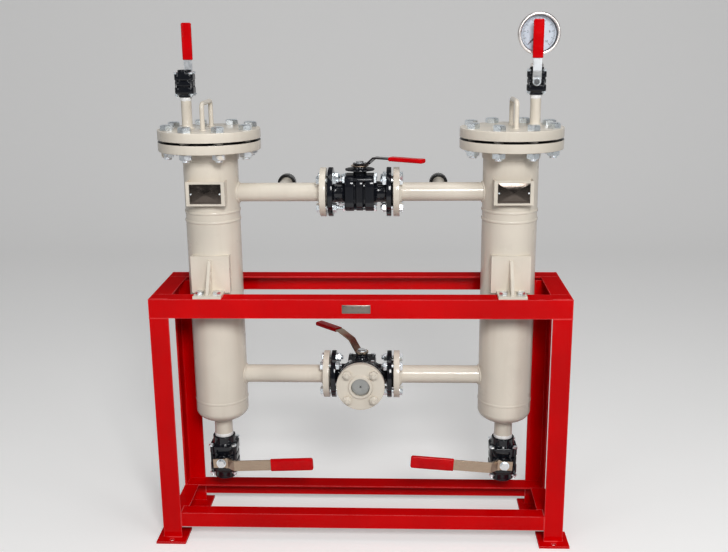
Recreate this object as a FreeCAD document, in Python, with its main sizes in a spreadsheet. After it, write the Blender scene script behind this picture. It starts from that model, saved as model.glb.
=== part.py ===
import FreeCAD, Part
import math
import os
from types import SimpleNamespace

import Sketcher
from FreeCAD import Placement, Rotation, Vector

# Backwash duplex filter: two upright filter vessels on an angle-iron stand, joined below by a
# three-way valve that sends the inlet to either vessel and above by a crossover valve.
# Millimetres, +Z up, +X to the right, +Y to the rear. The origin is on the floor, at the middle
# of the stand.

SIZES = {
    # stand
    "frame_length": 1070.0,
    "frame_depth": 280.0,
    "frame_height": 675.0,
    "top_angle_leg": 50.0,
    "top_angle_thick": 5.0,
    "low_angle_leg": 40.0,
    "low_angle_thick": 4.0,
    "angle_root_radius": 4.0,
    "angle_toe_radius": 2.0,
    "low_rail_height": 78.0,
    "ring_length": 1020.0,
    "ring_rear": 74.0,
    "rear_plate_inset": 28.0,
    "plate_side": 80.0,
    "plate_thick": 6.0,
    "plate_reach": 26.0,
    "anchor_hole_radius": 6.0,
    "anchor_hole_margin": 13.0,
    # vessels
    "vessel_spacing": 770.0,
    "vessel_radius": 70.65,
    "vessel_wall": 6.55,
    "seam_height": 359.5,
    "skirt_length": 30.0,
    "head_depth": 35.3,
    "bead_rise": 1.8,
    "bead_width": 8.0,
    "lower_bead_drop": 206.2,
    "upper_bead_drop": 182.5,
    "drain_nozzle_radius": 24.15,
    "drain_nozzle_bore": 19.0,
    # body flange, cover and their joint
    "joint_height": 1062.2,
    "flange_radius": 131.0,
    "flange_thick": 23.9,
    "raised_face_radius": 93.0,
    "raised_face_rise": 1.2,
    "flange_hub_wall": 4.0,
    "flange_hub_length": 26.0,
    "cover_gasket_thick": 2.0,
    "cover_thick": 24.5,
    "cover_bolt_circle": 107.95,
    "cover_hole_radius": 11.2,
    "cover_bolt_radius": 10.0,
    "cover_bolt_flats": 30.0,
    "cover_bolt_head": 14.0,
    "cover_nut_height": 16.0,
    "bolt_end_length": 5.0,
    # cover fittings
    "left_vent_offset": 55.0,
    "right_vent_offset": 57.5,
    "vent_pipe_radius": 13.35,
    "vent_pipe_bore": 7.5,
    "vent_pipe_length": 88.0,
    "handle_bar_radius": 6.0,
    "handle_span": 112.0,
    "handle_rise": 66.0,
    "handle_shift": 4.5,
    "handle_bend_radius": 14.0,
    # filter element inside each vessel
    "seat_drop": 200.2,
    "seat_thick": 12.0,
    "seat_bore": 46.0,
    "element_radius": 44.45,
    "element_wall": 3.0,
    "element_lift": 105.5,
    "element_rim_radius": 55.0,
    "element_rim_thick": 6.0,
    "element_slot_width": 5.0,
    "element_slot_margin": 77.0,
    "element_seal_thick": 2.0,
    # piping
    "upper_pipe_drop": 137.2,
    "lower_pipe_height": 426.0,
    "pipe_radius": 24.15,
    "pipe_wall": 3.7,
    "pipe_flange_radius": 63.5,
    "pipe_flange_thick": 17.5,
    "pipe_face_radius": 36.5,
    "pipe_face_rise": 1.6,
    "pipe_hub_radius": 32.0,
    "pipe_hub_length": 4.7,
    "pipe_socket_gap": 0.7,
    "pipe_weld_recess": 6.0,
    "pipe_gasket_thick": 2.0,
    "pipe_bolt_circle": 49.2,
    "pipe_hole_radius": 7.95,
    "pipe_bolt_radius": 6.35,
    "pipe_bolt_flats": 21.0,
    "pipe_bolt_head": 9.0,
    "pipe_nut_height": 11.0,
    "outlet_offset": 207.0,
    "outlet_radius": 16.7,
    "outlet_bore": 13.3,
    "outlet_length": 154.0,
    "outlet_boss_radius": 21.0,
    "outlet_cap_radius": 25.0,
    "outlet_cap_length": 28.0,
    "outlet_cap_depth": 16.0,
    # supports and plates on the vessels
    "lug_pad_width": 100.0,
    "lug_pad_height": 96.5,
    "lug_pad_front": 77.0,
    "lug_foot_width": 72.0,
    "lug_foot_thick": 7.0,
    "lug_foot_inset": 2.0,
    "lug_gusset_thick": 8.0,
    "lug_gusset_rise": 80.0,
    "lug_bolt_pitch": 43.0,
    "lug_bolt_radius": 6.0,
    "lug_hole_radius": 6.75,
    "lug_bolt_flats": 19.0,
    "lug_bolt_head": 8.0,
    "lug_nut_height": 10.0,
    "bracket_width": 98.0,
    "bracket_height": 61.5,
    "bracket_reach": 90.0,
    "bracket_thick": 3.0,
    "bracket_drop": 127.2,
    "name_plate_width": 80.0,
    "name_plate_height": 50.0,
    "name_plate_thick": 1.0,
    "label_width": 72.0,
    "label_height": 22.0,
    "label_thick": 1.0,
    "label_offset": 7.0,
    "label_drop": 25.0,
    # flanged valves: the crossover valve and the three-way valve
    "main_half_length": 82.5,
    "main_flange_thick": 14.0,
    "main_neck_radius": 27.0,
    "main_bore": 18.0,
    "main_ball_radius": 26.0,
    "main_body_half": 23.0,
    "main_body_radius": 43.0,
    "main_cap_side": 92.0,
    "main_cap_thick": 14.0,
    "main_bolt_offset": 36.0,
    "main_bolt_radius": 5.0,
    "main_bolt_flats": 16.0,
    "main_bolt_head": 6.5,
    "main_stem_radius": 8.0,
    "main_tang_side": 10.0,
    "main_bonnet_radius": 17.0,
    "main_bonnet_top": 60.0,
    "main_lever_base": 71.0,
    "main_lever_rise": 18.0,
    "main_lever_run": 22.0,
    "main_lever_crank": 24.0,
    "main_lever_length": 186.0,
    "main_lever_width": 22.0,
    "main_lever_thick": 4.0,
    "main_hub_radius": 18.0,
    "main_grip_length": 94.0,
    "main_grip_width": 27.0,
    "main_grip_thick": 11.0,
    "main_nut_flats": 19.0,
    "main_nut_height": 5.0,
    "stop_plate_radius": 38.0,
    "stop_plate_thick": 3.0,
    "three_way_block_side": 76.0,
    "three_way_bonnet_side": 74.0,
    "three_way_bonnet_thick": 6.0,
    "three_way_lever_base": 61.0,
    "three_way_lever_rise": 40.0,
    "three_way_lever_run": 25.0,
    "three_way_lever_crank": 16.0,
    "three_way_lever_length": 182.0,
    "three_way_knee_run": 46.0,
    "three_way_knee_rise": 14.0,
    "three_way_grip_length": 86.0,
    "three_way_bonnet_top": 56.0,
    "bonnet_screw_radius": 3.0,
    "bonnet_screw_flats": 10.0,
    "bonnet_screw_head": 4.0,
    # screwed valves under the vessels
    "drain_middle_height": 186.0,
    "drain_half_length": 61.0,
    "drain_hub_radius": 30.5,
    "drain_bore": 18.0,
    "drain_socket_radius": 24.35,
    "drain_socket_depth": 16.0,
    "drain_ball_radius": 26.0,
    "drain_body_half": 23.0,
    "drain_body_radius": 33.0,
    "drain_cap_side": 75.0,
    "drain_cap_thick": 15.0,
    "drain_bolt_offset": 30.5,
    "drain_bolt_radius": 4.0,
    "drain_bolt_flats": 13.0,
    "drain_bolt_head": 5.3,
    "drain_stem_radius": 7.0,
    "drain_tang_side": 9.0,
    "drain_bonnet_radius": 15.0,
    "drain_bonnet_top": 48.0,
    "drain_lever_base": 57.0,
    "drain_lever_rise": 20.0,
    "drain_lever_run": 20.0,
    "drain_lever_crank": 20.0,
    "drain_lever_length": 254.0,
    "drain_lever_width": 30.0,
    "drain_lever_thick": 4.0,
    "drain_hub_back": 22.0,
    "drain_hub_width": 26.0,
    "drain_stop_offset": 16.0,
    "drain_stop_width": 5.0,
    "drain_stop_length": 51.0,
    "drain_stop_thick": 3.0,
    "drain_grip_length": 115.0,
    "drain_grip_width": 34.5,
    "drain_grip_thick": 13.0,
    "drain_nut_flats": 19.0,
    "drain_nut_height": 8.0,
    # screwed valves on the covers
    "vent_thread_length": 8.9,
    "vent_half_length": 34.0,
    "vent_hub_radius": 17.5,
    "vent_bore": 9.0,
    "vent_socket_radius": 13.45,
    "vent_socket_depth": 12.0,
    "vent_ball_radius": 13.5,
    "vent_body_half": 14.0,
    "vent_body_radius": 19.5,
    "vent_cap_side": 48.0,
    "vent_cap_thick": 10.0,
    "vent_bolt_offset": 18.5,
    "vent_bolt_radius": 2.5,
    "vent_bolt_flats": 8.0,
    "vent_bolt_head": 4.0,
    "vent_stem_radius": 4.5,
    "vent_tang_side": 6.0,
    "vent_bonnet_radius": 9.5,
    "vent_bonnet_top": 29.0,
    "vent_lever_base": 34.0,
    "vent_lever_rise": 10.0,
    "vent_lever_run": 16.0,
    "vent_lever_crank": 11.0,
    "vent_lever_length": 149.0,
    "vent_lever_width": 21.5,
    "vent_lever_thick": 3.0,
    "vent_hub_plate_radius": 10.5,
    "vent_grip_length": 92.0,
    "vent_grip_width": 26.0,
    "vent_grip_thick": 10.0,
    "vent_nut_flats": 13.0,
    "vent_nut_height": 6.0,
    # pressure gauge
    "gauge_rise": 80.0,
    "gauge_bezel_radius": 52.2,
    "gauge_bezel_depth": 13.0,
    "gauge_case_radius": 48.5,
    "gauge_case_depth": 46.0,
    "gauge_case_wall": 2.0,
    "gauge_window_thick": 3.0,
    "gauge_dial_height": 29.0,
    "gauge_dial_thick": 1.0,
    "gauge_pointer_length": 36.0,
    "gauge_pointer_tail": 12.0,
    "gauge_pointer_width": 6.0,
    "gauge_stem_radius": 10.5,
    "gauge_stem_depth": 20.0,
    "gauge_bush_flats": 30.0,
    "gauge_bush_height": 9.0,
    # clearances
    "stem_clearance": 0.05,
    "seat_clearance": 0.35,
    "sleeve_clearance": 0.1,
}

# Where the levers stand in the model, in degrees about each stem: the crossover valve nearly open,
# the three-way valve between its two ports, the drains closed and the vents open.
CROSSOVER_LEVER_TURN = -30.0
THREE_WAY_LEVER_TURN = 134.0
LEFT_DRAIN_LEVER_TURN = -87.8
RIGHT_DRAIN_LEVER_TURN = 85.6
VENT_LEVER_TURN = 0.0
RIGHT_VENT_TWIST = -6.0
GAUGE_POINTER_TURN = 225.0
COVER_BOLTS = 8
PIPE_BOLTS = 4
ELEMENT_SLOTS = 10
HEX_CORNER = 1.0 / math.sqrt(3.0)

doc = FreeCAD.newDocument("backwash_duplex_filter")
sheet = doc.addObject("Spreadsheet::Sheet", "Sizes")


def text_of(value):
    """The expression text of a size, or a plain number as text."""
    return value.text if isinstance(value, Size) else repr(float(value))


class Size:
    """A length of the sheet, or one worked out from it, with the expression that follows it."""

    def __init__(self, value, text):
        self.value = float(value)
        self.text = text

    def __float__(self):
        return self.value

    def __add__(self, other):
        return Size(self.value + float(other), f"({self.text} + {text_of(other)})")

    __radd__ = __add__

    def __sub__(self, other):
        return Size(self.value - float(other), f"({self.text} - {text_of(other)})")

    def __rsub__(self, other):
        return Size(float(other) - self.value, f"({text_of(other)} - {self.text})")

    def __mul__(self, other):
        return Size(self.value * float(other), f"({self.text} * {text_of(other)})")

    __rmul__ = __mul__

    def __truediv__(self, other):
        return Size(self.value / float(other), f"({self.text} / {text_of(other)})")

    def __neg__(self):
        return self * -1.0


def root_of(size):
    """Square root of a size."""
    return Size(math.sqrt(float(size)), f"sqrt({size.text})")


def fill_sheet():
    """Write every driving size to the sheet and hand them back as a namespace."""
    for row, (alias, value) in enumerate(SIZES.items(), start=1):
        sheet.set(f"A{row}", alias)
        sheet.set(f"B{row}", repr(value))
        sheet.setAlias(f"B{row}", alias)
    doc.recompute()
    return SimpleNamespace(**{alias: Size(sheet.get(alias), f"Sizes.{alias}") for alias in SIZES})


def subset(*prefixes):
    """The sizes of one kind of valve, without their prefix; a later prefix wins."""
    found = {}
    for prefix in prefixes:
        for alias, size in vars(d).items():
            if alias.startswith(prefix + "_"):
                found[alias[len(prefix) + 1:]] = size
    return SimpleNamespace(**found)


d = fill_sheet()

# Heights that follow the cover joint, the lower seam or the stand's top.
d.lid_height = d.joint_height + d.cover_gasket_thick + d.raised_face_rise + d.cover_thick
d.upper_pipe_height = d.joint_height - d.upper_pipe_drop
d.bracket_middle_height = d.joint_height - d.bracket_drop
d.upper_bead_height = d.joint_height - d.upper_bead_drop
d.lower_bead_height = d.joint_height - d.lower_bead_drop
d.seat_height = d.joint_height - d.seat_drop
d.element_bottom = d.seam_height + d.element_lift
d.element_slot_length = d.seat_height - d.element_bottom - d.element_slot_margin
d.label_middle_height = d.frame_height - d.label_drop
d.vent_middle_height = (
    d.lid_height + d.vent_pipe_length + d.vent_half_length - d.vent_thread_length
)
d.gauge_middle_height = d.vent_middle_height + d.vent_half_length + d.gauge_rise

NODES = []

# Turns that carry a shape's own Z axis, or its three axes, to where it is wanted.
ALONG = {
    "Z": Rotation(),
    "-Z": Rotation(Vector(1, 0, 0), 180),
    "X": Rotation(Vector(0, 1, 0), 90),
    "-X": Rotation(Vector(0, 1, 0), -90),
    "Y": Rotation(Vector(1, 0, 0), -90),
    "-Y": Rotation(Vector(1, 0, 0), 90),
}


def frame_of(x_axis, y_axis, z_axis):
    """Rotation that carries X, Y and Z to the three given directions."""
    return Rotation(Vector(*x_axis), Vector(*y_axis), Vector(*z_axis), "ZXY")


def place(obj, at=(0, 0, 0), turn=None):
    """Put an object at a point that follows the sheet, with a fixed turn."""
    obj.Placement = Placement(Vector(*(float(value) for value in at)), turn or Rotation())
    for axis, value in zip("xyz", at):
        if isinstance(value, Size):
            obj.setExpression(f".Placement.Base.{axis}", value.text)
    return obj


def make(kind, name, at=(0, 0, 0), turn=None, **sizes):
    """A Part primitive whose sizes follow the sheet."""
    obj = doc.addObject("Part::" + kind, name)
    for prop, value in sizes.items():
        setattr(obj, prop, float(value))
        if isinstance(value, Size):
            obj.setExpression(prop, value.text)
    return place(obj, at, turn)


def box(name, size, at=(0, 0, 0), turn=None):
    """Box from its lowest corner."""
    return make("Box", name, at, turn, Length=size[0], Width=size[1], Height=size[2])


def block(name, size, base=(0, 0, 0)):
    """Box that stands on the given point, centred on it in X and Y."""
    corner = (base[0] - size[0] / 2, base[1] - size[1] / 2, base[2])
    return box(name, size, corner)


def rod(name, radius, length, at=(0, 0, 0), along="Z"):
    """Cylinder from a point, along an axis."""
    return make("Cylinder", name, at, ALONG[along], Radius=radius, Height=length)


def hexagon(name, flats, height, at=(0, 0, 0), along="Z"):
    """Hexagonal prism with the given width across flats."""
    prism = make("Prism", name, at, ALONG[along], Circumradius=flats * HEX_CORNER, Height=height)
    prism.Polygon = 6
    return prism


def fuse(name, *shapes):
    """Union of several objects."""
    obj = doc.addObject("Part::MultiFuse", name)
    obj.Shapes = list(shapes)
    return obj


def together(name, *shapes):
    """Several separate solids as one object."""
    obj = doc.addObject("Part::Compound", name)
    obj.Links = list(shapes)
    return obj


def cut(name, base, *tools):
    """Base less every tool."""
    obj = doc.addObject("Part::Cut", name)
    obj.Base = base
    obj.Tool = tools[0] if len(tools) == 1 else fuse(name + "_tools", *tools)
    return obj


def node(label, obj):
    """Name an object as one of the finished pieces."""
    obj.Label = label
    NODES.append(obj)
    return obj


def scatter(label, *sets):
    """A piece made of separate copies: each set is a master object and the places of its copies."""
    doc.recompute()
    solids = []
    for master, places in sets:
        for spot in places:
            copy = master.Shape.copy()
            copy.Placement = spot.multiply(master.Placement)
            solids.append(copy)
    obj = doc.addObject("Part::Feature", label + "_set")
    obj.Shape = Part.makeCompound(solids)
    return node(label, obj)


def spot(x, y, z, turn=None):
    """A fixed place for a copy."""
    return Placement(Vector(float(x), float(y), float(z)), turn or Rotation())


def about_z(degrees):
    """Turn about the vertical."""
    return Rotation(Vector(0, 0, 1), degrees)


def origin_plane(body, role):
    """One of a body's own origin planes."""
    return next(item for item in body.Origin.OriginFeatures if item.Role == role)


def outline(body, plane, points, name="Outline"):
    """Closed sketch through points whose two coordinates each follow the sheet."""
    sketch = body.newObject("Sketcher::SketchObject", body.Name + name)
    sketch.AttachmentSupport = [(origin_plane(body, plane), "")]
    sketch.MapMode = "FlatFace"
    ends = [Vector(float(u), float(v), 0) for u, v in points]
    for index, start in enumerate(ends):
        sketch.addGeometry(Part.LineSegment(start, ends[(index + 1) % len(ends)]), False)
    for index in range(len(ends)):
        following = (index + 1) % len(ends)
        sketch.addConstraint(Sketcher.Constraint("Coincident", index, 2, following, 1))
    for index, point in enumerate(points):
        for kind, value in zip(("DistanceX", "DistanceY"), point):
            rule = Sketcher.Constraint(kind, -1, 1, index, 1, float(value))
            number = sketch.addConstraint(rule)
            if isinstance(value, Size):
                sketch.setExpression(f"Constraints[{number}]", value.text)
    return sketch


def new_body(name):
    """An empty body."""
    return doc.addObject("PartDesign::Body", name)


def turned(name, points):
    """Body turned about Z from (radius, height) points."""
    body = new_body(name)
    sketch = outline(body, "XZ_Plane", points)
    feature = body.newObject("PartDesign::Revolution", name + "_turning")
    feature.Profile = sketch
    feature.ReferenceAxis = (sketch, ["V_Axis"])
    feature.Angle = 360
    return body


def extruded(name, plane, points, length, symmetric=False):
    """Body padded from an outline."""
    body = new_body(name)
    pad = body.newObject("PartDesign::Pad", name + "_pad")
    pad.Profile = outline(body, plane, points)
    if symmetric:
        pad.SideType = "Symmetric"
    pad.Length = float(length)
    if isinstance(length, Size):
        pad.setExpression("Length", length.text)
    return body


def round_edges(body, name, radius, wanted):
    """Fillet the edges of a body whose midpoint and direction satisfy a test."""
    doc.recompute()
    base = body.Tip
    chosen = []
    for number, edge in enumerate(base.Shape.Edges, start=1):
        if not isinstance(edge.Curve, Part.Line):
            continue
        middle = edge.valueAt((edge.FirstParameter + edge.LastParameter) / 2)
        if wanted(middle, edge.Curve.Direction):
            chosen.append(f"Edge{number}")
    fillet = body.newObject("PartDesign::Fillet", name)
    fillet.Base = (base, chosen)
    fillet.Radius = float(radius)
    if isinstance(radius, Size):
        fillet.setExpression("Radius", radius.text)
    return body


def drill_circle(body, name, circle, radius, count, depth, first_degrees):
    """Drill equally spaced holes on a circle about Z, right through a turned body."""
    doc.recompute()
    before = body.Shape.Volume
    sketch = body.newObject("Sketcher::SketchObject", name + "_sketch")
    sketch.AttachmentSupport = [(origin_plane(body, "XY_Plane"), "")]
    sketch.MapMode = "FlatFace"
    first = math.radians(first_degrees)
    middle = (circle * math.cos(first), circle * math.sin(first))
    centre = Vector(float(middle[0]), float(middle[1]), 0)
    sketch.addGeometry(Part.Circle(centre, Vector(0, 0, 1), float(radius)), False)
    for kind, value in zip(("DistanceX", "DistanceY"), middle):
        number = sketch.addConstraint(Sketcher.Constraint(kind, -1, 1, 0, 3, float(value)))
        sketch.setExpression(f"Constraints[{number}]", value.text)
    number = sketch.addConstraint(Sketcher.Constraint("Radius", 0, float(radius)))
    sketch.setExpression(f"Constraints[{number}]", radius.text)
    pocket = body.newObject("PartDesign::Pocket", name)
    pocket.Profile = sketch
    pocket.SideType = "Symmetric"
    pocket.Length = float(depth)
    pocket.setExpression("Length", depth.text)
    pattern = body.newObject("PartDesign::PolarPattern", name + "_pattern")
    pattern.Originals = [pocket]
    pattern.Axis = (sketch, ["N_Axis"])
    pattern.Angle = 360
    pattern.Occurrences = count
    body.Tip = pattern
    doc.recompute()
    if body.Shape.Volume >= before:
        raise RuntimeError(f"{name} cuts nothing")
    return body


def hex_bolt(name, flats, head, radius, length):
    """Hexagon-head bolt: head above Z = 0, shank below."""
    top = hexagon(name + "_head", flats, head)
    shank = rod(name + "_shank", radius, length, (0, 0, -length))
    return fuse(name, top, shank)


def hex_nut(name, flats, height, radius):
    """Hexagon nut that hangs below Z = 0."""
    blank = hexagon(name + "_blank", flats, height, (0, 0, -height))
    bore = rod(name + "_bore", radius, height * 3, (0, 0, height * -2))
    return cut(name, blank, bore)


def ring(name, outer, inner, height, at=(0, 0, 0), along="Z"):
    """Flat ring."""
    rim = rod(name + "_rim", outer, height, at, along)
    hole = rod(name + "_hole", inner, height, at, along)
    return cut(name, rim, hole)


# Stand of angle iron


def angle_bar(name, leg, thick, length):
    """Equal angle with its corner on the Z axis and its legs along +X and +Y."""
    points = [(0, 0), (leg, 0), (leg, thick), (thick, thick), (thick, leg), (0, leg)]
    body = extruded(name, "XY_Plane", points, length)
    at_root = float(thick)
    far = float(leg)

    def is_root(middle, direction):
        return abs(direction.z) > 0.9 and abs(middle.x - at_root) + abs(middle.y - at_root) < 0.01

    def is_toe(middle, direction):
        inner_x = abs(middle.x - far) + abs(middle.y - at_root) < 0.01
        inner_y = abs(middle.y - far) + abs(middle.x - at_root) < 0.01
        return abs(direction.z) > 0.9 and (inner_x or inner_y)

    round_edges(body, name + "_root", d.angle_root_radius, is_root)
    return round_edges(body, name + "_toes", d.angle_toe_radius, is_toe)


def build_stand():
    """Legs, two rings of rails and the base plates; the rear legs stand inside the top ring."""
    half_length = d.frame_length / 2
    half_depth = d.frame_depth / 2
    half_ring = d.ring_length / 2
    front_rise = d.frame_height - d.top_angle_leg - d.plate_thick
    rear_rise = d.frame_height - d.top_angle_thick - d.plate_thick
    front_leg = angle_bar("front_leg_bar", d.top_angle_leg, d.top_angle_thick, front_rise)
    rear_leg = angle_bar("rear_leg_bar", d.top_angle_leg, d.top_angle_thick, rear_rise)
    legs = scatter(
        "legs",
        (front_leg, [
            spot(half_length * side, -half_depth, d.plate_thick, about_z(45 + 45 * side))
            for side in (-1, 1)
        ]),
        (rear_leg, [
            spot(half_ring * side, d.ring_rear, d.plate_thick, about_z(225 - 45 * side))
            for side in (-1, 1)
        ]),
    )

    # A rail's own corner edge runs along its upper outer edge, one leg down and one leg inward.
    to_front = frame_of((0, 0, -1), (0, 1, 0), (1, 0, 0))
    to_rear = frame_of((0, 0, -1), (0, -1, 0), (-1, 0, 0))
    to_left = frame_of((0, 0, -1), (1, 0, 0), (0, -1, 0))
    to_right = frame_of((0, 0, -1), (-1, 0, 0), (0, 1, 0))

    top_long = angle_bar("top_long_bar", d.top_angle_leg, d.top_angle_thick, d.frame_length)
    pitch = d.lug_bolt_pitch / 2
    holes = []
    for side in (-1, 1):
        for hand in (-1, 1):
            along_bar = half_length + d.vessel_spacing * (side / 2) + pitch * hand
            where = (-d.top_angle_thick, d.top_angle_leg / 2, along_bar)
            name = f"top_rail_hole_{side + 1}{hand + 1}"
            holes.append(rod(name, d.lug_hole_radius, d.top_angle_thick * 3, where, "X"))
    top_drilled = cut("top_long_drilled", top_long, *holes)
    top_places = [
        spot(-half_length, -half_depth, d.frame_height, to_front),
        spot(half_length, half_depth, d.frame_height, to_rear),
    ]
    top_rails = scatter("top_long_rails", (top_drilled, top_places))

    inner_depth = d.frame_depth - d.top_angle_thick * 2
    side_start = inner_depth / 2
    top_side = angle_bar("top_side_bar", d.top_angle_leg, d.top_angle_thick, inner_depth)
    side_bars = scatter(
        "top_side_blanks",
        (top_side, [
            spot(-half_length, side_start, d.frame_height, to_left),
            spot(half_length, -side_start, d.frame_height, to_right),
        ]),
    )
    NODES.remove(side_bars)
    node("top_side_rails", cut("top_side_coped", side_bars, top_rails))

    # The low rear rail is the heavier angle and its top runs on into the corners of the legs.
    front_length = d.frame_length - d.top_angle_leg * 2
    rear_length = d.ring_length - d.top_angle_thick * 2
    low_front = angle_bar("low_front_bar", d.low_angle_leg, d.low_angle_thick, front_length)
    low_rear = angle_bar("low_rear_bar", d.top_angle_leg, d.top_angle_thick, rear_length)
    long_bars = scatter(
        "low_long_blanks",
        (low_front, [spot(front_length / -2, -half_depth, d.low_rail_height, to_front)]),
        (low_rear, [spot(rear_length / 2, d.ring_rear, d.low_rail_height, to_rear)]),
    )
    side_front = d.low_angle_thick - half_depth
    side_rear = d.ring_rear - d.low_angle_thick
    low_side = angle_bar(
        "low_side_bar", d.low_angle_leg, d.low_angle_thick, side_rear - side_front
    )
    short_bars = scatter(
        "low_side_blanks",
        (low_side, [
            spot(-half_ring, side_rear, d.low_rail_height, to_left),
            spot(half_ring, side_front, d.low_rail_height, to_right),
        ]),
    )
    NODES.remove(long_bars)
    NODES.remove(short_bars)
    long_rails = node("bottom_long_rails", cut("low_long_coped", long_bars, legs))
    node("bottom_side_rails", cut("low_side_coped", short_bars, legs, long_rails))

    hole_line = -(d.plate_side / 2 - d.anchor_hole_margin)
    plate = cut(
        "base_plate",
        block("base_plate_blank", (d.plate_side, d.plate_side, d.plate_thick)),
        rod("base_plate_hole", d.anchor_hole_radius, d.plate_thick, (0, hole_line, 0)),
    )
    front_x = half_length - d.top_angle_leg / 2
    rear_x = half_ring - d.rear_plate_inset
    past_leg = d.plate_reach - d.plate_side / 2
    scatter(
        "base_plates",
        (plate, [spot(front_x * side, -(half_depth + past_leg), 0) for side in (-1, 1)]
            + [spot(rear_x * side, d.ring_rear + past_leg, 0, about_z(180)) for side in (-1, 1)]),
    )


# Vessels, covers and what stands on them


def bead(radius, height):
    """Points of a raised weld bead around a vessel, from below upwards."""
    half = d.bead_width / 2
    crest = d.bead_width / 5
    return [
        (radius, height - half),
        (radius + d.bead_rise, height - crest),
        (radius + d.bead_rise, height + crest),
        (radius, height + half),
    ]


def build_shell(label, side):
    """Pipe shell with its dished end, drain nozzle and two side ports that face the middle."""
    middle = d.vessel_spacing * (side / 2)
    radius = d.vessel_radius
    inner = radius - d.vessel_wall
    low = d.seam_height - d.skirt_length
    high = d.joint_height - d.raised_face_rise - d.pipe_weld_recess
    points = [(0, low), (radius, low)]
    for height in (d.seam_height, d.lower_bead_height, d.upper_bead_height):
        points += bead(radius, height)
    points += [(radius, high), (0, high)]
    barrel = turned(label + "_barrel", points)
    head = make(
        "Ellipsoid", label + "_head", (0, 0, low), None,
        Radius1=d.head_depth, Radius2=radius, Radius3=radius, Angle1=-90, Angle2=0,
    )
    nozzle_end = d.drain_middle_height + d.drain_half_length - d.drain_socket_depth + 1
    nozzle_top = low - d.head_depth / 2
    nozzle = rod(
        label + "_nozzle", d.drain_nozzle_radius, nozzle_top - nozzle_end, (0, 0, nozzle_end)
    )
    hollow = rod(label + "_hollow", inner, high - low, (0, 0, low))
    dish = make(
        "Ellipsoid", label + "_dish", (0, 0, low), None,
        Radius1=d.head_depth - d.vessel_wall, Radius2=inner, Radius3=inner, Angle1=-90, Angle2=0,
    )
    drain = rod(label + "_drain", d.drain_nozzle_bore, low - nozzle_end, (0, 0, nozzle_end))
    port_radius = d.pipe_radius - d.pipe_wall
    inward = "X" if side < 0 else "-X"
    ports = [
        rod(f"{label}_port_{level}", port_radius, radius * 1.2, (0, 0, height), inward)
        for level, height in (("low", d.lower_pipe_height), ("high", d.upper_pipe_height))
    ]
    outside = fuse(label + "_outside", barrel, head, nozzle)
    shell = cut(label + "_shell", outside, hollow, dish, drain, *ports)
    return node(label, place(shell, (middle, 0, 0)))


def build_joint():
    """Body flanges, gaskets, covers, handles and the bolts of both cover joints."""
    places = [spot(d.vessel_spacing * (side / 2), 0, 0) for side in (-1, 1)]
    bore = d.vessel_radius
    top = d.joint_height
    face = top - d.raised_face_rise
    low = face - d.flange_thick
    hub = low - d.flange_hub_length
    hub_radius = bore + d.flange_hub_wall
    flange = turned("body_flange", [
        (bore, hub + d.flange_hub_wall),
        (hub_radius - 1.5, hub),
        (hub_radius, low),
        (d.flange_radius, low),
        (d.flange_radius, face),
        (d.raised_face_radius, face),
        (d.raised_face_radius, top),
        (bore, top),
    ])
    half_step = 180.0 / COVER_BOLTS
    drill_circle(
        flange, "body_flange_hole", d.cover_bolt_circle, d.cover_hole_radius,
        COVER_BOLTS, top * 3, half_step,
    )
    scatter("body_flanges", (flange, places))

    gasket = ring("cover_gasket", d.raised_face_radius, bore, d.cover_gasket_thick, (0, 0, top))
    scatter("cover_gaskets", (gasket, places))

    face = top + d.cover_gasket_thick
    rim = face + d.raised_face_rise
    lid_top = d.lid_height
    lid = turned("cover_blank", [
        (0, face),
        (d.raised_face_radius, face),
        (d.raised_face_radius, rim),
        (d.flange_radius, rim),
        (d.flange_radius, lid_top),
        (0, lid_top),
    ])
    drill_circle(
        lid, "cover_hole", d.cover_bolt_circle, d.cover_hole_radius, COVER_BOLTS, lid_top * 3, half_step
    )
    sets = []
    for name, offset, place_of in (
        ("left", -d.left_vent_offset, places[0]), ("right", d.right_vent_offset, places[1]),
    ):
        at = (offset, 0, lid_top)
        stub = rod(name + "_vent_stub", d.vent_pipe_radius, d.vent_pipe_length, at)
        weld = make(
            "Cone", name + "_vent_weld", at, None,
            Radius1=d.vent_pipe_radius + 4, Radius2=d.vent_pipe_radius, Height=4,
        )
        way = rod(
            name + "_vent_way", d.vent_pipe_bore, d.vent_pipe_length + d.cover_thick * 2, (offset, 0, face)
        )
        whole = fuse(name + "_cover_with_stub", lid, stub, weld)
        sets.append((cut(name + "_cover", whole, way), [place_of]))
    scatter("covers", *sets)

    build_handles(lid_top)
    grip = lid_top - low
    bolt = hex_bolt(
        "cover_bolt", d.cover_bolt_flats, d.cover_bolt_head, d.cover_bolt_radius,
        grip + d.cover_nut_height + d.bolt_end_length,
    )
    nut = hex_nut("cover_nut", d.cover_bolt_flats, d.cover_nut_height, d.cover_bolt_radius)
    heads = []
    nuts = []
    for side in (-1, 1):
        for number in range(COVER_BOLTS):
            angle = math.radians(half_step * (2 * number + 1))
            x = d.vessel_spacing * (side / 2) + d.cover_bolt_circle * math.cos(angle)
            y = d.cover_bolt_circle * math.sin(angle)
            twist = about_z(math.degrees(angle) + 11 * number)
            heads.append(spot(x, y, lid_top, twist))
            nuts.append(spot(x, y, low, twist))
    scatter("cover_bolts", (bolt, heads))
    scatter("cover_nuts", (nut, nuts))


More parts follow.
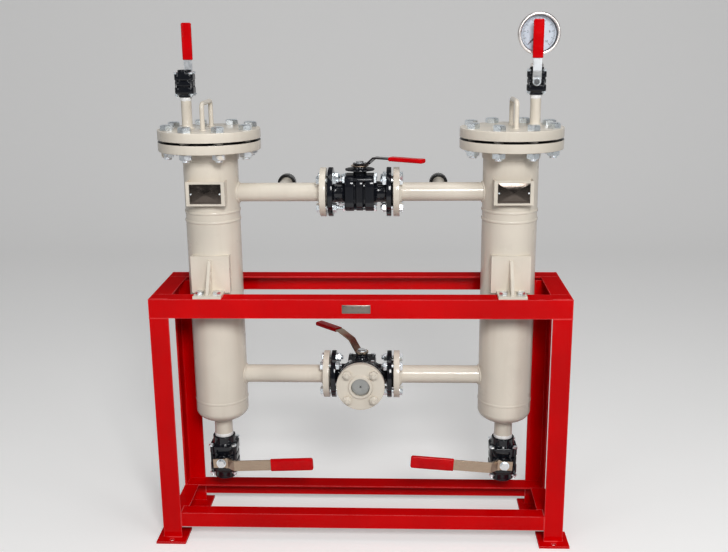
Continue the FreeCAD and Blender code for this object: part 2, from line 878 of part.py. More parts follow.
def build_handles(base):
    """A bent round bar on each cover, swept along a path with two bends."""
    body = new_body("handle_bar")
    path = body.newObject("Sketcher::SketchObject", "handle_path")
    path.AttachmentSupport = [(origin_plane(body, "YZ_Plane"), "")]
    path.MapMode = "FlatFace"
    half = d.handle_span / 2
    bend = d.handle_bend_radius
    top = d.handle_rise
    inner = half - bend
    turn = top - bend
    quarter = math.pi / 2

    def point(u, v):
        return Vector(float(u), float(v), 0)

    path.addGeometry(Part.LineSegment(point(-half, 0), point(-half, turn)), False)
    circle = Part.Circle(point(-inner, turn), Vector(0, 0, 1), float(bend))
    path.addGeometry(Part.ArcOfCircle(circle, quarter, 2 * quarter), False)
    path.addGeometry(Part.LineSegment(point(-inner, top), point(inner, top)), False)
    circle = Part.Circle(point(inner, turn), Vector(0, 0, 1), float(bend))
    path.addGeometry(Part.ArcOfCircle(circle, 0, quarter), False)
    path.addGeometry(Part.LineSegment(point(half, turn), point(half, 0)), False)
    for first, end, second, start in ((0, 2, 1, 2), (1, 1, 2, 1), (2, 2, 3, 2), (3, 1, 4, 1)):
        path.addConstraint(Sketcher.Constraint("Tangent", first, end, second, start))
    wanted = [
        ("DistanceX", 0, 1, -half), ("DistanceY", 0, 1, 0), ("DistanceX", 4, 2, half),
        ("DistanceY", 4, 2, 0), ("DistanceY", 2, 1, top),
    ]
    for kind, line, end, value in wanted:
        number = path.addConstraint(Sketcher.Constraint(kind, -1, 1, line, end, float(value)))
        if isinstance(value, Size):
            path.setExpression(f"Constraints[{number}]", value.text)
    path.addConstraint(Sketcher.Constraint("Vertical", 0))
    path.addConstraint(Sketcher.Constraint("Vertical", 4))
    path.addConstraint(Sketcher.Constraint("Horizontal", 2))
    for arc in (1, 3):
        number = path.addConstraint(Sketcher.Constraint("Radius", arc, float(bend)))
        path.setExpression(f"Constraints[{number}]", bend.text)

    section = body.newObject("Sketcher::SketchObject", "handle_section")
    section.AttachmentSupport = [(origin_plane(body, "XY_Plane"), "")]
    section.MapMode = "FlatFace"
    middle = Vector(0, float(-half), 0)
    section.addGeometry(
        Part.Circle(middle, Vector(0, 0, 1), float(d.handle_bar_radius)), False
    )
    section.addConstraint(Sketcher.Constraint("DistanceX", -1, 1, 0, 3, 0.0))
    number = section.addConstraint(Sketcher.Constraint("DistanceY", -1, 1, 0, 3, float(-half)))
    section.setExpression(f"Constraints[{number}]", (-half).text)
    number = section.addConstraint(Sketcher.Constraint("Radius", 0, float(d.handle_bar_radius)))
    section.setExpression(f"Constraints[{number}]", d.handle_bar_radius.text)
    pipe = body.newObject("PartDesign::AdditivePipe", "handle_sweep")
    pipe.Profile = section
    pipe.Spine = path
    pipe.Transition = "Transformed"
    scatter(
        "cover_handles",
        (body, [
            spot((d.vessel_spacing / 2 + d.handle_shift) * side, 0, base) for side in (-1, 1)
        ]),
    )


def build_elements():
    """Seat ring, slotted filter element and its seal inside each vessel."""
    places = [spot(d.vessel_spacing * (side / 2), 0, 0) for side in (-1, 1)]
    seat = ring(
        "seat_ring", d.vessel_radius - d.vessel_wall, d.seat_bore, d.seat_thick, (0, 0, d.seat_height)
    )
    scatter("element_seats", (seat, places))
    top = d.seat_height + d.seat_thick
    seal = ring(
        "element_seal", d.element_rim_radius, d.seat_bore, d.element_seal_thick, (0, 0, top)
    )
    scatter("element_seals", (seal, places))

    outer = d.element_radius
    inner = outer - d.element_wall
    rim = top + d.element_seal_thick
    floor = d.element_bottom + d.element_wall
    body = turned("element", [
        (0, d.element_bottom),
        (outer, d.element_bottom),
        (outer, rim),
        (d.element_rim_radius, rim),
        (d.element_rim_radius, rim + d.element_rim_thick),
        (inner, rim + d.element_rim_thick),
        (inner, floor),
        (0, floor),
    ])
    doc.recompute()
    before = body.Shape.Volume
    half = d.element_slot_width / 2
    start = d.element_bottom + d.element_slot_width * 4
    end = start + d.element_slot_length
    slot = outline(body, "XZ_Plane", [(-half, start), (half, start), (half, end), (-half, end)], "Slot")
    pocket = body.newObject("PartDesign::Pocket", "element_slot")
    pocket.Profile = slot
    pocket.Length = float(outer * 2)
    pocket.setExpression("Length", (outer * 2).text)
    pattern = body.newObject("PartDesign::PolarPattern", "element_slots")
    pattern.Originals = [pocket]
    pattern.Axis = (slot, ["V_Axis"])
    pattern.Angle = 360
    pattern.Occurrences = ELEMENT_SLOTS
    body.Tip = pattern
    doc.recompute()
    if body.Shape.Volume >= before:
        raise RuntimeError("the element's slots cut nothing")
    scatter("filter_elements", (body, places))


def build_supports():
    """Saddle lugs that carry the vessels on the top rails, with their bolts."""
    front = d.lug_pad_front
    pad = box(
        "lug_pad",
        (d.lug_pad_width, front - d.vessel_radius / 2, d.lug_pad_height),
        (d.lug_pad_width / -2, -front, d.frame_height),
    )
    reach = d.frame_depth / 2 - d.lug_foot_inset
    foot = box(
        "lug_foot",
        (d.lug_foot_width, reach - front, d.lug_foot_thick),
        (d.lug_foot_width / -2, -reach, d.frame_height),
    )
    foot_top = d.frame_height + d.lug_foot_thick
    crest = foot_top + d.lug_gusset_rise
    gusset = extruded("lug_gusset", "YZ_Plane", [
        (-front, foot_top),
        (-reach + 6, foot_top),
        (-reach + 6, foot_top + 4),
        (-front - 6, crest),
        (-front, crest),
    ], d.lug_gusset_thick, symmetric=True)
    hollow = rod("lug_saddle", d.vessel_radius, d.lug_pad_height, (0, 0, d.frame_height))
    holes = []
    bolt_y = -(d.frame_depth - d.top_angle_leg) / 2
    for hand in (-1, 1):
        where = (d.lug_bolt_pitch / 2 * hand, bolt_y, d.frame_height)
        holes.append(rod(f"lug_hole_{hand + 1}", d.lug_hole_radius, d.lug_foot_thick, where))
    lug = cut("lug", fuse("lug_weldment", pad, foot, gusset), hollow, *holes)
    sides = [(side, row) for side in (-1, 1) for row in (0, 180)]
    scatter(
        "support_lugs",
        (lug, [spot(d.vessel_spacing * (side / 2), 0, 0, about_z(row)) for side, row in sides]),
    )
    grip = d.lug_foot_thick + d.top_angle_thick
    bolt = hex_bolt(
        "lug_bolt", d.lug_bolt_flats, d.lug_bolt_head, d.lug_bolt_radius,
        grip + d.lug_nut_height + d.bolt_end_length,
    )
    nut = hex_nut("lug_nut", d.lug_bolt_flats, d.lug_nut_height, d.lug_bolt_radius)
    heads = []
    nuts = []
    for side, row in sides:
        sign = 1 if row == 0 else -1
        for hand in (-1, 1):
            x = d.vessel_spacing * (side / 2) + d.lug_bolt_pitch / 2 * hand
            twist = about_z(17 * hand + row)
            heads.append(spot(x, bolt_y * sign, foot_top, twist))
            nuts.append(spot(x, bolt_y * sign, foot_top - grip, twist))
    scatter("lug_bolts", (bolt, heads), (nut, nuts))


def build_plates():
    """Stand-off brackets with bare plates on the vessels, and a bare label on the top rail."""
    width = d.bracket_width
    low = d.bracket_middle_height - d.bracket_height / 2
    wall = d.bracket_thick
    depth = d.bracket_reach - d.vessel_radius / 2
    blank = box("bracket_blank", (width, depth, d.bracket_height), (width / -2, -d.bracket_reach, low))
    inside = box(
        "bracket_inside",
        (width - wall * 2, depth, d.bracket_height),
        (width / -2 + wall, wall - d.bracket_reach, low),
    )
    hollow = rod("bracket_saddle", d.vessel_radius, d.bracket_height, (0, 0, low))
    bracket = cut("bracket", blank, inside, hollow)
    places = [spot(d.vessel_spacing * (side / 2), 0, 0) for side in (-1, 1)]
    scatter("nameplate_brackets", (bracket, places))
    plate = box(
        "name_plate",
        (d.name_plate_width, d.name_plate_thick, d.name_plate_height),
        (
            d.name_plate_width / -2,
            -d.bracket_reach - d.name_plate_thick,
            d.bracket_middle_height - d.name_plate_height / 2,
        ),
    )
    label = box(
        "label",
        (d.label_width, d.label_thick, d.label_height),
        (
            -d.label_offset - d.label_width / 2,
            d.frame_depth / -2 - d.label_thick,
            d.label_middle_height - d.label_height / 2,
        ),
    )
    scatter("bare_plates", (plate, places), (label, [Placement()]))


# Piping between the vessels


def build_pipes():
    """Pipe spools, slip-on flanges, gaskets, the blanking disc and the flange bolts."""
    face = d.main_half_length + d.pipe_gasket_thick
    start = face + d.pipe_weld_recess
    half = d.vessel_spacing / 2
    bore = d.pipe_radius - d.pipe_wall
    for label, height, outlets in (
        ("upper_pipes", d.upper_pipe_height, True),
        ("lower_pipes", d.lower_pipe_height, False),
    ):
        spools = []
        for side, along in ((-1, "-X"), (1, "X")):
            name = f"{label}_{side + 1}"
            at = (start * side, 0, height)
            length = half - start
            solid = rod(name + "_pipe", d.pipe_radius, length, at, along)
            way = rod(name + "_way", bore, length, at, along)
            vessel = rod(
                name + "_vessel", d.vessel_radius, d.pipe_radius * 4,
                (half * side, 0, height - d.pipe_radius * 2),
            )
            ways = [way, vessel]
            if outlets:
                where = (d.outlet_offset * side, 0, height)
                stub = rod(name + "_stub", d.outlet_radius, d.outlet_length, where, "Y")
                boss = make(
                    "Cone", name + "_boss", where, ALONG["Y"],
                    Radius1=d.outlet_boss_radius, Radius2=d.outlet_radius, Height=d.pipe_radius * 2,
                )
                solid = fuse(name + "_branched", solid, stub, boss)
                ways.append(rod(name + "_outlet", d.outlet_bore, d.outlet_length, where, "Y"))
            spools.append(cut(name, solid, *ways))
        node(label, together(label + "_pair", *spools))

    socket = d.pipe_radius + d.pipe_socket_gap
    back = d.pipe_flange_thick + d.pipe_hub_length
    flange = turned("pipe_flange", [
        (socket, 0),
        (d.pipe_face_radius, 0),
        (d.pipe_face_radius, d.pipe_face_rise),
        (d.pipe_flange_radius, d.pipe_face_rise),
        (d.pipe_flange_radius, d.pipe_flange_thick),
        (d.pipe_hub_radius, d.pipe_flange_thick),
        (d.pipe_hub_radius - 2, back),
        (socket, back),
    ])
    drill_circle(
        flange, "pipe_flange_hole", d.pipe_bolt_circle, d.pipe_hole_radius, PIPE_BOLTS, back * 3, 45.0
    )
    high = d.upper_pipe_height
    low = d.lower_pipe_height
    side_joints = [
        (-1, high, ALONG["-X"]), (1, high, ALONG["X"]), (-1, low, ALONG["-X"]), (1, low, ALONG["X"]),
    ]
    places = [spot(face * side, 0, height, turn) for side, height, turn in side_joints]
    front = spot(0, -face, low, ALONG["-Y"])
    scatter("pipe_flanges", (flange, places + [front]))

    gasket = ring("pipe_gasket", d.pipe_face_radius, socket, d.pipe_gasket_thick)
    scatter(
        "pipe_gaskets",
        (gasket, [spot(d.main_half_length * side, 0, z, turn) for side, z, turn in side_joints]),
    )
    disc = rod(
        "inlet_disc", d.pipe_face_radius, d.pipe_gasket_thick, (0, -d.main_half_length, low), "-Y"
    )
    node("inlet_blank", disc)

    outer = d.pipe_gasket_thick + d.pipe_flange_thick
    grip = outer + d.main_flange_thick
    length = grip + d.pipe_nut_height + d.bolt_end_length
    bolt = hex_bolt("pipe_bolt", d.pipe_bolt_flats, d.pipe_bolt_head, d.pipe_bolt_radius, length)
    nut = hex_nut("pipe_nut", d.pipe_bolt_flats, d.pipe_nut_height, d.pipe_bolt_radius)
    circle = float(d.pipe_bolt_circle)
    heads = []
    nuts = []
    for side, height, turn in side_joints:
        joint = spot(d.main_half_length * side, 0, height, turn)
        for number in range(PIPE_BOLTS):
            angle = math.radians(45 + 90 * number)
            x = circle * math.cos(angle)
            y = circle * math.sin(angle)
            heads.append(joint.multiply(spot(x, y, outer, about_z(23 * number))))
            nuts.append(joint.multiply(spot(x, y, outer - grip, about_z(23 * number + 9))))
    scatter("flange_bolts", (bolt, heads), (nut, nuts))
    # The inlet's bolts point the other way, with their nuts in front.
    joint = spot(0, -d.main_half_length, low, ALONG["-Y"])
    over = Rotation(Vector(1, 0, 0), 180)
    heads = []
    nuts = []
    for number in range(PIPE_BOLTS):
        angle = math.radians(45 + 90 * number)
        x = circle * math.cos(angle)
        y = circle * math.sin(angle)
        heads.append(joint.multiply(spot(x, y, outer - grip, over)))
        nuts.append(joint.multiply(spot(x, y, outer, over)))
    scatter("inlet_bolts", (bolt, heads), (nut, nuts))

    tip = d.outlet_length - d.outlet_cap_depth
    cap = cut(
        "outlet_cap",
        rod("outlet_cap_blank", d.outlet_cap_radius, d.outlet_cap_length, (0, 0, tip)),
        rod("outlet_cap_socket", d.outlet_radius + 0.1, d.outlet_cap_depth, (0, 0, tip)),
    )
    scatter(
        "outlet_caps",
        (cap, [spot(d.outlet_offset * side, 0, high, ALONG["Y"]) for side in (-1, 1)]),
    )


# Ball valves. A valve is worked out about its own middle, with the flow along X and the stem along Z.


def valve_ball(name, v, ways):
    """Ball and stem in one piece, with a square tang; ways are the directions of its bores."""
    ball = make("Sphere", name + "_sphere", Radius=v.ball_radius)
    stem_top = v.bonnet_top + 2
    foot = v.ball_radius * 0.8
    stem = rod(name + "_shaft", v.stem_radius, stem_top - foot, (0, 0, foot))
    tang = block(
        name + "_tang",
        (v.tang_side, v.tang_side, v.lever_base + v.lever_thick + v.nut_height - stem_top),
        (0, 0, stem_top),
    )
    bores = [rod(f"{name}_bore_{way}", v.bore, v.ball_radius * 2, (0, 0, 0), way) for way in ways]
    return cut(name, fuse(name + "_solid", ball, stem, tang), *bores)


def valve_lever(name, v):
    """Bent flat lever: a hub plate on the stem, a crank and a flat arm along +X."""
    if hasattr(v, "hub_back"):
        hub = box(
            name + "_hub",
            (v.hub_back + v.lever_crank, v.hub_width, v.lever_thick),
            (-v.hub_back, v.hub_width / -2, v.lever_base),
        )
    else:
        hub = rod(name + "_hub", v.hub_radius, v.lever_thick, (0, 0, v.lever_base))
    thick = v.lever_thick
    low = v.lever_base
    high = low + v.lever_rise
    bend = v.lever_crank
    end = bend + v.lever_run
    root = bend - thick * 2
    tip = v.lever_length - 2
    crank_rise = v.lever_rise - v.knee_rise if hasattr(v, "knee_rise") else v.lever_rise
    slope = root_of(v.lever_run * v.lever_run + crank_rise * crank_rise)
    miter = thick * ((slope - v.lever_run) / crank_rise)
    under = [(root, low), (bend, low), (end, low + crank_rise)]
    over = [(end - miter, low + crank_rise + thick), (bend - miter, low + thick), (root, low + thick)]
    if hasattr(v, "knee_rise"):
        knee = end + v.knee_run
        under.append((knee, high))
        over.insert(0, (knee, high + thick))
    arm = extruded(
        name + "_arm", "XZ_Plane", [*under, (tip, high), (tip, high + thick), *over],
        v.lever_width, symmetric=True,
    )
    hole = block(
        name + "_square",
        (v.tang_side + 0.1, v.tang_side + 0.1, thick * 3),
        (0, 0, low - thick),
    )
    return cut(name, fuse(name + "_blank", hub, arm), hole)


def valve_grip(name, v):
    """Soft sleeve over the end of the lever, with rounded edges."""
    start = v.lever_length - v.grip_length
    middle = v.lever_base + v.lever_rise + v.lever_thick / 2
    half = v.grip_width / 2
    low = middle - v.grip_thick / 2
    high = middle + v.grip_thick / 2
    body = extruded(name + "_sleeve", "XZ_Plane", [
        (start, low), (v.lever_length, low), (v.lever_length, high), (start, high),
    ], v.grip_width, symmetric=True)
    tip = float(v.lever_length)
    flank = float(half)

    def is_long(middle_point, direction):
        return abs(direction.x) > 0.9 and abs(abs(middle_point.y) - flank) < 0.01

    def is_tip(middle_point, direction):
        return abs(direction.z) > 0.9 and abs(middle_point.x - tip) < 0.01

    round_edges(body, name + "_tip", v.grip_width * 0.25, is_tip)
    round_edges(body, name + "_sides", v.grip_thick * 0.3, is_long)
    gap = d.sleeve_clearance
    slot = box(
        name + "_slot",
        (v.grip_length - 2 + gap, v.lever_width + gap * 2, v.lever_thick + gap * 2),
        (start, -(v.lever_width / 2 + gap), middle - v.lever_thick / 2 - gap),
    )
    return cut(name, body, slot)


def valve_nut(name, v):
    """Nut that holds the lever on the tang."""
    top = v.lever_base + v.lever_thick
    blank = hexagon(name + "_hex", v.nut_flats, v.nut_height, (0, 0, top))
    hole = block(name + "_seat", (v.tang_side, v.tang_side, v.nut_height), (0, 0, top))
    return cut(name, blank, hole)


def build_handling(prefix, v, at, valve_turn, lever_turn, ways):
    """The moving pieces of one valve: ball and stem with its nut, lever and grip."""
    turn = valve_turn.multiply(about_z(lever_turn))
    ball = valve_ball(prefix + "_ball", v, ways)
    nut = valve_nut(prefix + "_nut", v)
    stem = together(prefix + "_stem_and_nut", ball, nut)
    node(prefix + "_stem", place(stem, at, turn))
    node(prefix + "_lever", place(valve_lever(prefix + "_plate", v), at, turn))
    node(prefix + "_grip", place(valve_grip(prefix + "_sleeve_cut", v), at, turn))


def centre_piece(name, v):
    """Middle of a three-piece valve: round body, bonnet, cavity for the ball and stem hole."""
    barrel = rod(name + "_barrel", v.body_radius, v.body_half * 2, (-v.body_half, 0, 0), "X")
    bonnet = rod(name + "_bonnet", v.bonnet_radius, v.bonnet_top)
    cavity = rod(
        name + "_cavity", v.ball_radius + 1.5, v.body_half * 2, (-v.body_half, 0, 0), "X"
    )
    stem = rod(name + "_stem_hole", v.stem_radius + d.stem_clearance, v.bonnet_top)
    return cut(name, fuse(name + "_cast", barrel, bonnet), cavity, stem)


def seat_of(name, v, radius_gap):
    """Seat ring against the ball, lying along +Z from the valve's middle."""
    reach = root_of(v.ball_radius * v.ball_radius - v.bore * v.bore) + d.seat_clearance
    return ring(name, v.ball_radius + radius_gap, v.bore, v.body_half - reach, (0, 0, reach))


def flanged_end(name, v, plate, start):
    """End piece of a flanged valve, along +Z: an optional square plate, a neck and a flange."""
    face = v.half_length
    back = face - v.flange_thick
    edge = face - d.pipe_face_rise
    body = turned(name + "_neck", [
        (v.bore, start),
        (v.neck_radius, start),
        (v.neck_radius, back - 4),
        (v.neck_radius + 4, back),
        (d.pipe_flange_radius, back),
        (d.pipe_flange_radius, edge),
        (d.pipe_face_radius, edge),
        (d.pipe_face_radius, face),
        (v.bore, face),
    ])
    drill_circle(
        body, name + "_hole", d.pipe_bolt_circle, d.pipe_hole_radius, PIPE_BOLTS, face * 3, 45.0
    )
    if not plate:
        return body
    return cap_plate(name, v, body)


def cap_plate(name, v, hub):
    """Square plate with four bolt holes, joined to a hub that stands on it along +Z."""
    base = (0, 0, v.body_half)
    square = block(name + "_square", (v.cap_side, v.cap_side, v.cap_thick), base)
    doc.recompute()
    rounded = doc.addObject("Part::Fillet", name + "_rounded")
    rounded.Base = square
    corners = [
        (number, float(v.cap_side) * 0.14, float(v.cap_side) * 0.14)
        for number, edge in enumerate(square.Shape.Edges, start=1)
        if abs(edge.Curve.Direction.z) > 0.9
    ]
    rounded.Edges = corners
    way = rod(name + "_way", v.bore, v.cap_thick, base)
    holes = []
    for number in range(4):
        x = v.bolt_offset * (1 if number in (0, 3) else -1)
        y = v.bolt_offset * (1 if number < 2 else -1)
        where = (x, y, v.body_half)
        holes.append(rod(f"{name}_bolt_{number}", v.bolt_radius + 0.3, v.cap_thick, where))
    return fuse(name, cut(name + "_plate", rounded, way, *holes), hub)


def screwed_end(name, v):
    """End piece of a screwed valve, along +Z: a square plate and a socketed hub."""
    start = v.body_half
    face = v.half_length
    socket = face - v.socket_depth
    hub = turned(name + "_hub", [
        (v.bore, start),
        (v.hub_radius, start),
        (v.hub_radius, face),
        (v.socket_radius, face),
        (v.socket_radius, socket),
        (v.bore, socket),
    ])
    return cap_plate(name, v, hub)


def through_bolts(v, valve):
    """Places of the four body bolts and their nuts for a valve at the given place."""
    outer = float(v.body_half + v.cap_thick)
    offset = float(v.bolt_offset)
    heads = []
    nuts = []
    for y, z in ((1, 1), (-1, 1), (-1, -1), (1, -1)):
        heads.append(valve.multiply(spot(outer, offset * y, offset * z, ALONG["X"])))
        nuts.append(valve.multiply(spot(-outer, offset * y, offset * z, ALONG["X"])))
    return heads, nuts


def build_valves():
    """All six valves, their seats and body bolts."""
    main = subset("main")
    three = subset("main", "three_way")
    drain = subset("drain")
    vent = subset("vent")
    half = d.vessel_spacing / 2
    upright = frame_of((0, 0, 1), (-1, 0, 0), (0, -1, 0))
    crossover = spot(0, 0, d.upper_pipe_height)
    three_way = spot(0, 0, d.lower_pipe_height)
    to_rear = frame_of((0, 0, 1), (1, 0, 0), (0, 1, 0))
    twisted = about_z(RIGHT_VENT_TWIST).multiply(upright)
    drains = [spot(half * side, 0, d.drain_middle_height, upright) for side in (-1, 1)]
    left_vent_x = -half - d.left_vent_offset
    right_vent_x = half + d.right_vent_offset
    vents = [
        spot(left_vent_x, 0, d.vent_middle_height, to_rear),
        spot(right_vent_x, 0, d.vent_middle_height, twisted),
    ]
    ends_x = [Placement(Vector(), ALONG["X"]), Placement(Vector(), ALONG["-X"])]

    # crossover valve
    body = fuse(
        "crossover_middle",
        centre_piece("crossover_cast", main),
        ring(
            "crossover_stop", d.stop_plate_radius, d.main_bonnet_radius, d.stop_plate_thick,
            (0, 0, d.main_bonnet_top - d.stop_plate_thick),
        ),
    )
    scatter("crossover_body", (body, [crossover]))
    end = flanged_end("crossover_end", main, True, main.body_half)
    scatter("crossover_ends", (end, [crossover.multiply(turn) for turn in ends_x]))

    # three-way valve
    side = d.three_way_block_side
    half_side = side / 2
    bonnet_low = half_side
    cavity = three.ball_radius + 1.5
    inset = d.three_way_bonnet_side / 2 - d.bonnet_screw_flats / 2 - 2
    screw_holes = [
        rod(
            f"bonnet_hole_{x + 1}{y + 1}", d.bonnet_screw_radius + 0.3, d.three_way_bonnet_thick,
            (inset * x, inset * y, bonnet_low),
        )
        for x in (-1, 1)
        for y in (-1, 1)
    ]
    block_body = cut(
        "three_way_cast",
        fuse(
            "three_way_solid",
            block("three_way_block", (side, side, side), (0, 0, half_side * -1)),
            block(
                "three_way_bonnet_plate",
                (d.three_way_bonnet_side, d.three_way_bonnet_side, d.three_way_bonnet_thick),
                (0, 0, bonnet_low),
            ),
            rod("three_way_bonnet", three.bonnet_radius, three.bonnet_top),
        ),
        rod("three_way_cross_way", cavity, side, (-half_side, 0, 0), "X"),
        rod("three_way_front_way", cavity, half_side, (0, 0, 0), "-Y"),
        make("Sphere", "three_way_room", Radius=cavity),
        rod("three_way_stem_hole", three.stem_radius + d.stem_clearance, three.bonnet_top),
        *screw_holes,
    )
    scatter("three_way_body", (block_body, [three_way]))
    short = flanged_end("three_way_end", three, False, half_side)
    to_front = Placement(Vector(), ALONG["-Y"])
    ends = ends_x + [to_front]
    scatter("three_way_ends", (short, [three_way.multiply(turn) for turn in ends]))

    # screwed valves: middle piece and both ends of each
    stop = box(
        "drain_stop",
        (d.drain_stop_length, d.drain_stop_width, d.drain_stop_thick),
        (
            d.drain_stop_length / -2,
            d.drain_stop_offset - d.drain_stop_width / 2,
            d.drain_bonnet_top - d.drain_stop_thick,
        ),
    )
    drain_middle = fuse("drain_middle", centre_piece("drain_cast", drain), stop)
    vent_middle = centre_piece("vent_cast", vent)
    half_turn = Placement(Vector(), about_z(180))
    for label, v, middle, places, middles in (
        ("drain_valve_bodies", drain, drain_middle, drains, [drains[0], drains[1].multiply(half_turn)]),
        ("vent_valve_bodies", vent, vent_middle, vents, vents),
    ):
        cap = screwed_end(label + "_end", v)
        caps = [valve.multiply(turn) for valve in places for turn in ends_x]
        scatter(label, (middle, middles), (cap, caps))

    # seats
    three_seats = SimpleNamespace(**vars(three))
    three_seats.body_half = half_side
    gap = 1.3
    scatter(
        "valve_seats",
        (seat_of("main_seat", main, gap), [crossover.multiply(turn) for turn in ends_x]),
        (seat_of("three_way_seat", three_seats, gap), [three_way.multiply(turn) for turn in ends]),
        (seat_of("drain_seat", drain, gap), [p.multiply(turn) for p in drains for turn in ends_x]),
        (seat_of("vent_seat", vent, gap), [p.multiply(turn) for p in vents for turn in ends_x]),
    )

    # body bolts
    sets = []
    for name, v, places in (
        ("main", main, [crossover]), ("drain", drain, drains), ("vent", vent, vents),
    ):
        length = (v.body_half + v.cap_thick) * 2 + v.bolt_head + 2
        bolt = hex_bolt(name + "_body_bolt", v.bolt_flats, v.bolt_head, v.bolt_radius, length)
        nut = hex_nut(name + "_body_nut", v.bolt_flats, v.bolt_head, v.bolt_radius)
        for valve in places:
            heads, nuts = through_bolts(v, valve)
            sets += [(bolt, heads), (nut, nuts)]
    screw = hex_bolt(
        "bonnet_screw", d.bonnet_screw_flats, d.bonnet_screw_head, d.bonnet_screw_radius,
        d.three_way_bonnet_thick,
    )
    top = half_side + d.three_way_bonnet_thick
    screws = [
        three_way.multiply(spot(inset * x, inset * y, top)) for x in (-1, 1) for y in (-1, 1)
    ]
    sets.append((screw, screws))
    scatter("valve_body_bolts", *sets)

    # moving pieces
    vent.hub_radius = d.vent_hub_plate_radius
    upper = (0, 0, d.upper_pipe_height)
    lower = (0, 0, d.lower_pipe_height)
    both = ("X", "-X")
    build_handling("crossover", main, upper, Rotation(), CROSSOVER_LEVER_TURN, both)
    build_handling("three_way", three, lower, Rotation(), THREE_WAY_LEVER_TURN, ("-X", "Y"))
    for name, side, angle in (
        ("left_drain", -1, LEFT_DRAIN_LEVER_TURN), ("right_drain", 1, RIGHT_DRAIN_LEVER_TURN),
    ):
        at = (half * side, 0, d.drain_middle_height)
        build_handling(name, drain, at, upright, angle, both)
    for name, x, turn in (("left_vent", left_vent_x, to_rear), ("right_vent", right_vent_x, twisted)):
        build_handling(name, vent, (x, 0, d.vent_middle_height), turn, VENT_LEVER_TURN, both)


def build_gauge():
    """Pressure gauge on the right vent valve: case, dial, pointer and window, facing the front."""
    depth = d.gauge_case_depth
    radius = d.gauge_case_radius
    wall = d.gauge_case_wall
    lip = d.gauge_bezel_radius - radius
    window_top = depth - lip
    inner = radius - wall
    case = turned("gauge_shell", [
        (0, 0),
        (radius, 0),
        (radius, depth - d.gauge_bezel_depth),
        (d.gauge_bezel_radius, depth - d.gauge_bezel_depth),
        (d.gauge_bezel_radius, depth - 2),
        (d.gauge_bezel_radius - 2, depth),
        (inner - 2, depth),
        (inner - 2, window_top),
        (inner, window_top),
        (inner, wall),
        (0, wall),
    ])
    movement = rod("gauge_movement", d.gauge_stem_radius * 1.6, d.gauge_dial_height)
    bush_top = d.gauge_middle_height - (d.vent_middle_height + d.vent_half_length)
    stem_length = bush_top - inner
    stem = rod("gauge_stem", d.gauge_stem_radius, stem_length, (0, -inner, d.gauge_stem_depth), "-Y")
    bush = hexagon(
        "gauge_bush", d.gauge_bush_flats, d.gauge_bush_height, (0, -bush_top, d.gauge_stem_depth), "Y"
    )
    plug = rod(
        "gauge_bush_thread", d.vent_socket_radius - 0.35, d.vent_socket_depth - 3,
        (0, -bush_top, d.gauge_stem_depth), "-Y",
    )
    vent_plug = rod("gauge_relief", 4, 5, (0, radius - 1, d.gauge_stem_depth), "Y")
    arbor_radius = 1.5
    arbor_hole = rod(
        "gauge_arbor_hole", arbor_radius + d.stem_clearance, d.gauge_dial_height, (0, 0, wall)
    )
    shell = cut(
        "gauge_whole", fuse("gauge_fused", case, movement, stem, bush, plug, vent_plug), arbor_hole
    )
    dial = ring(
        "gauge_face", inner - 0.3, arbor_radius + 1, d.gauge_dial_thick, (0, 0, d.gauge_dial_height)
    )
    pane = rod(
        "gauge_glass", inner - 1.0, d.gauge_window_thick, (0, 0, window_top - d.gauge_window_thick)
    )
    window = together("gauge_glass_placed", pane)
    level = d.gauge_dial_height + d.gauge_dial_thick + 1
    tail = -d.gauge_pointer_tail
    width = d.gauge_pointer_width
    needle = extruded("gauge_needle", "XY_Plane", [
        (tail, width / -2.4), (0, width / -2), (d.gauge_pointer_length, width / -12),
        (d.gauge_pointer_length, width / 12), (0, width / 2), (tail, width / 2.4),
    ], 1.0)
    place(needle, (0, 0, level))
    boss = rod("gauge_pointer_boss", 4.5, 2.0, (0, 0, level))
    arbor = rod(
        "gauge_arbor", arbor_radius, d.gauge_dial_thick + 11, (0, 0, d.gauge_dial_height - 10)
    )
    pointer = fuse("gauge_pointer_whole", needle, boss, arbor)

    facing = frame_of((1, 0, 0), (0, 0, 1), (0, -1, 0))
    at = (d.vessel_spacing / 2 + d.right_vent_offset, d.gauge_stem_depth, d.gauge_middle_height)
    node("gauge_case", place(shell, at, facing))
    node("gauge_dial", place(dial, at, facing))
    node("gauge_window", place(window, at, facing))
    node("gauge_pointer", place(pointer, at, facing.multiply(about_z(GAUGE_POINTER_TURN))))


def write_parts():
    """Check every object and every piece, then write one file for each piece."""
    doc.recompute()
    for obj in doc.Objects:
        if "Invalid" in obj.State or "Error" in obj.State:
            raise RuntimeError(f"{obj.Label} failed: {obj.State}")
    os.makedirs("parts", exist_ok=True)
    for piece in NODES:
        shape = piece.Shape
        if shape.isNull() or not shape.isValid() or not shape.Solids:
            raise RuntimeError(f"{piece.Label} has no valid solid")
        for solid in shape.Solids:
            if solid.Volume <= 0:
                raise RuntimeError(f"{piece.Label} holds an empty solid")
        shape.exportStep(os.path.join("parts", piece.Label + ".step"))
        print(f"{piece.Label}: {len(shape.Solids)} solids, {shape.Volume / 1000:.1f} cm3")
    print(f"{len(NODES)} pieces")


build_stand()
build_shell("left_shell", -1)
build_shell("right_shell", 1)
build_joint()
build_elements()
build_supports()
build_plates()
build_pipes()
build_valves()
build_gauge()
write_parts()
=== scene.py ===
"""Looks of a backwash duplex filter: two cream vessels on a red angle-iron stand with ball valves."""

import logging
import math
from dataclasses import dataclass, replace
from enum import Enum
from itertools import product

import bmesh
import bpy
import numpy as np
from mathutils import Matrix


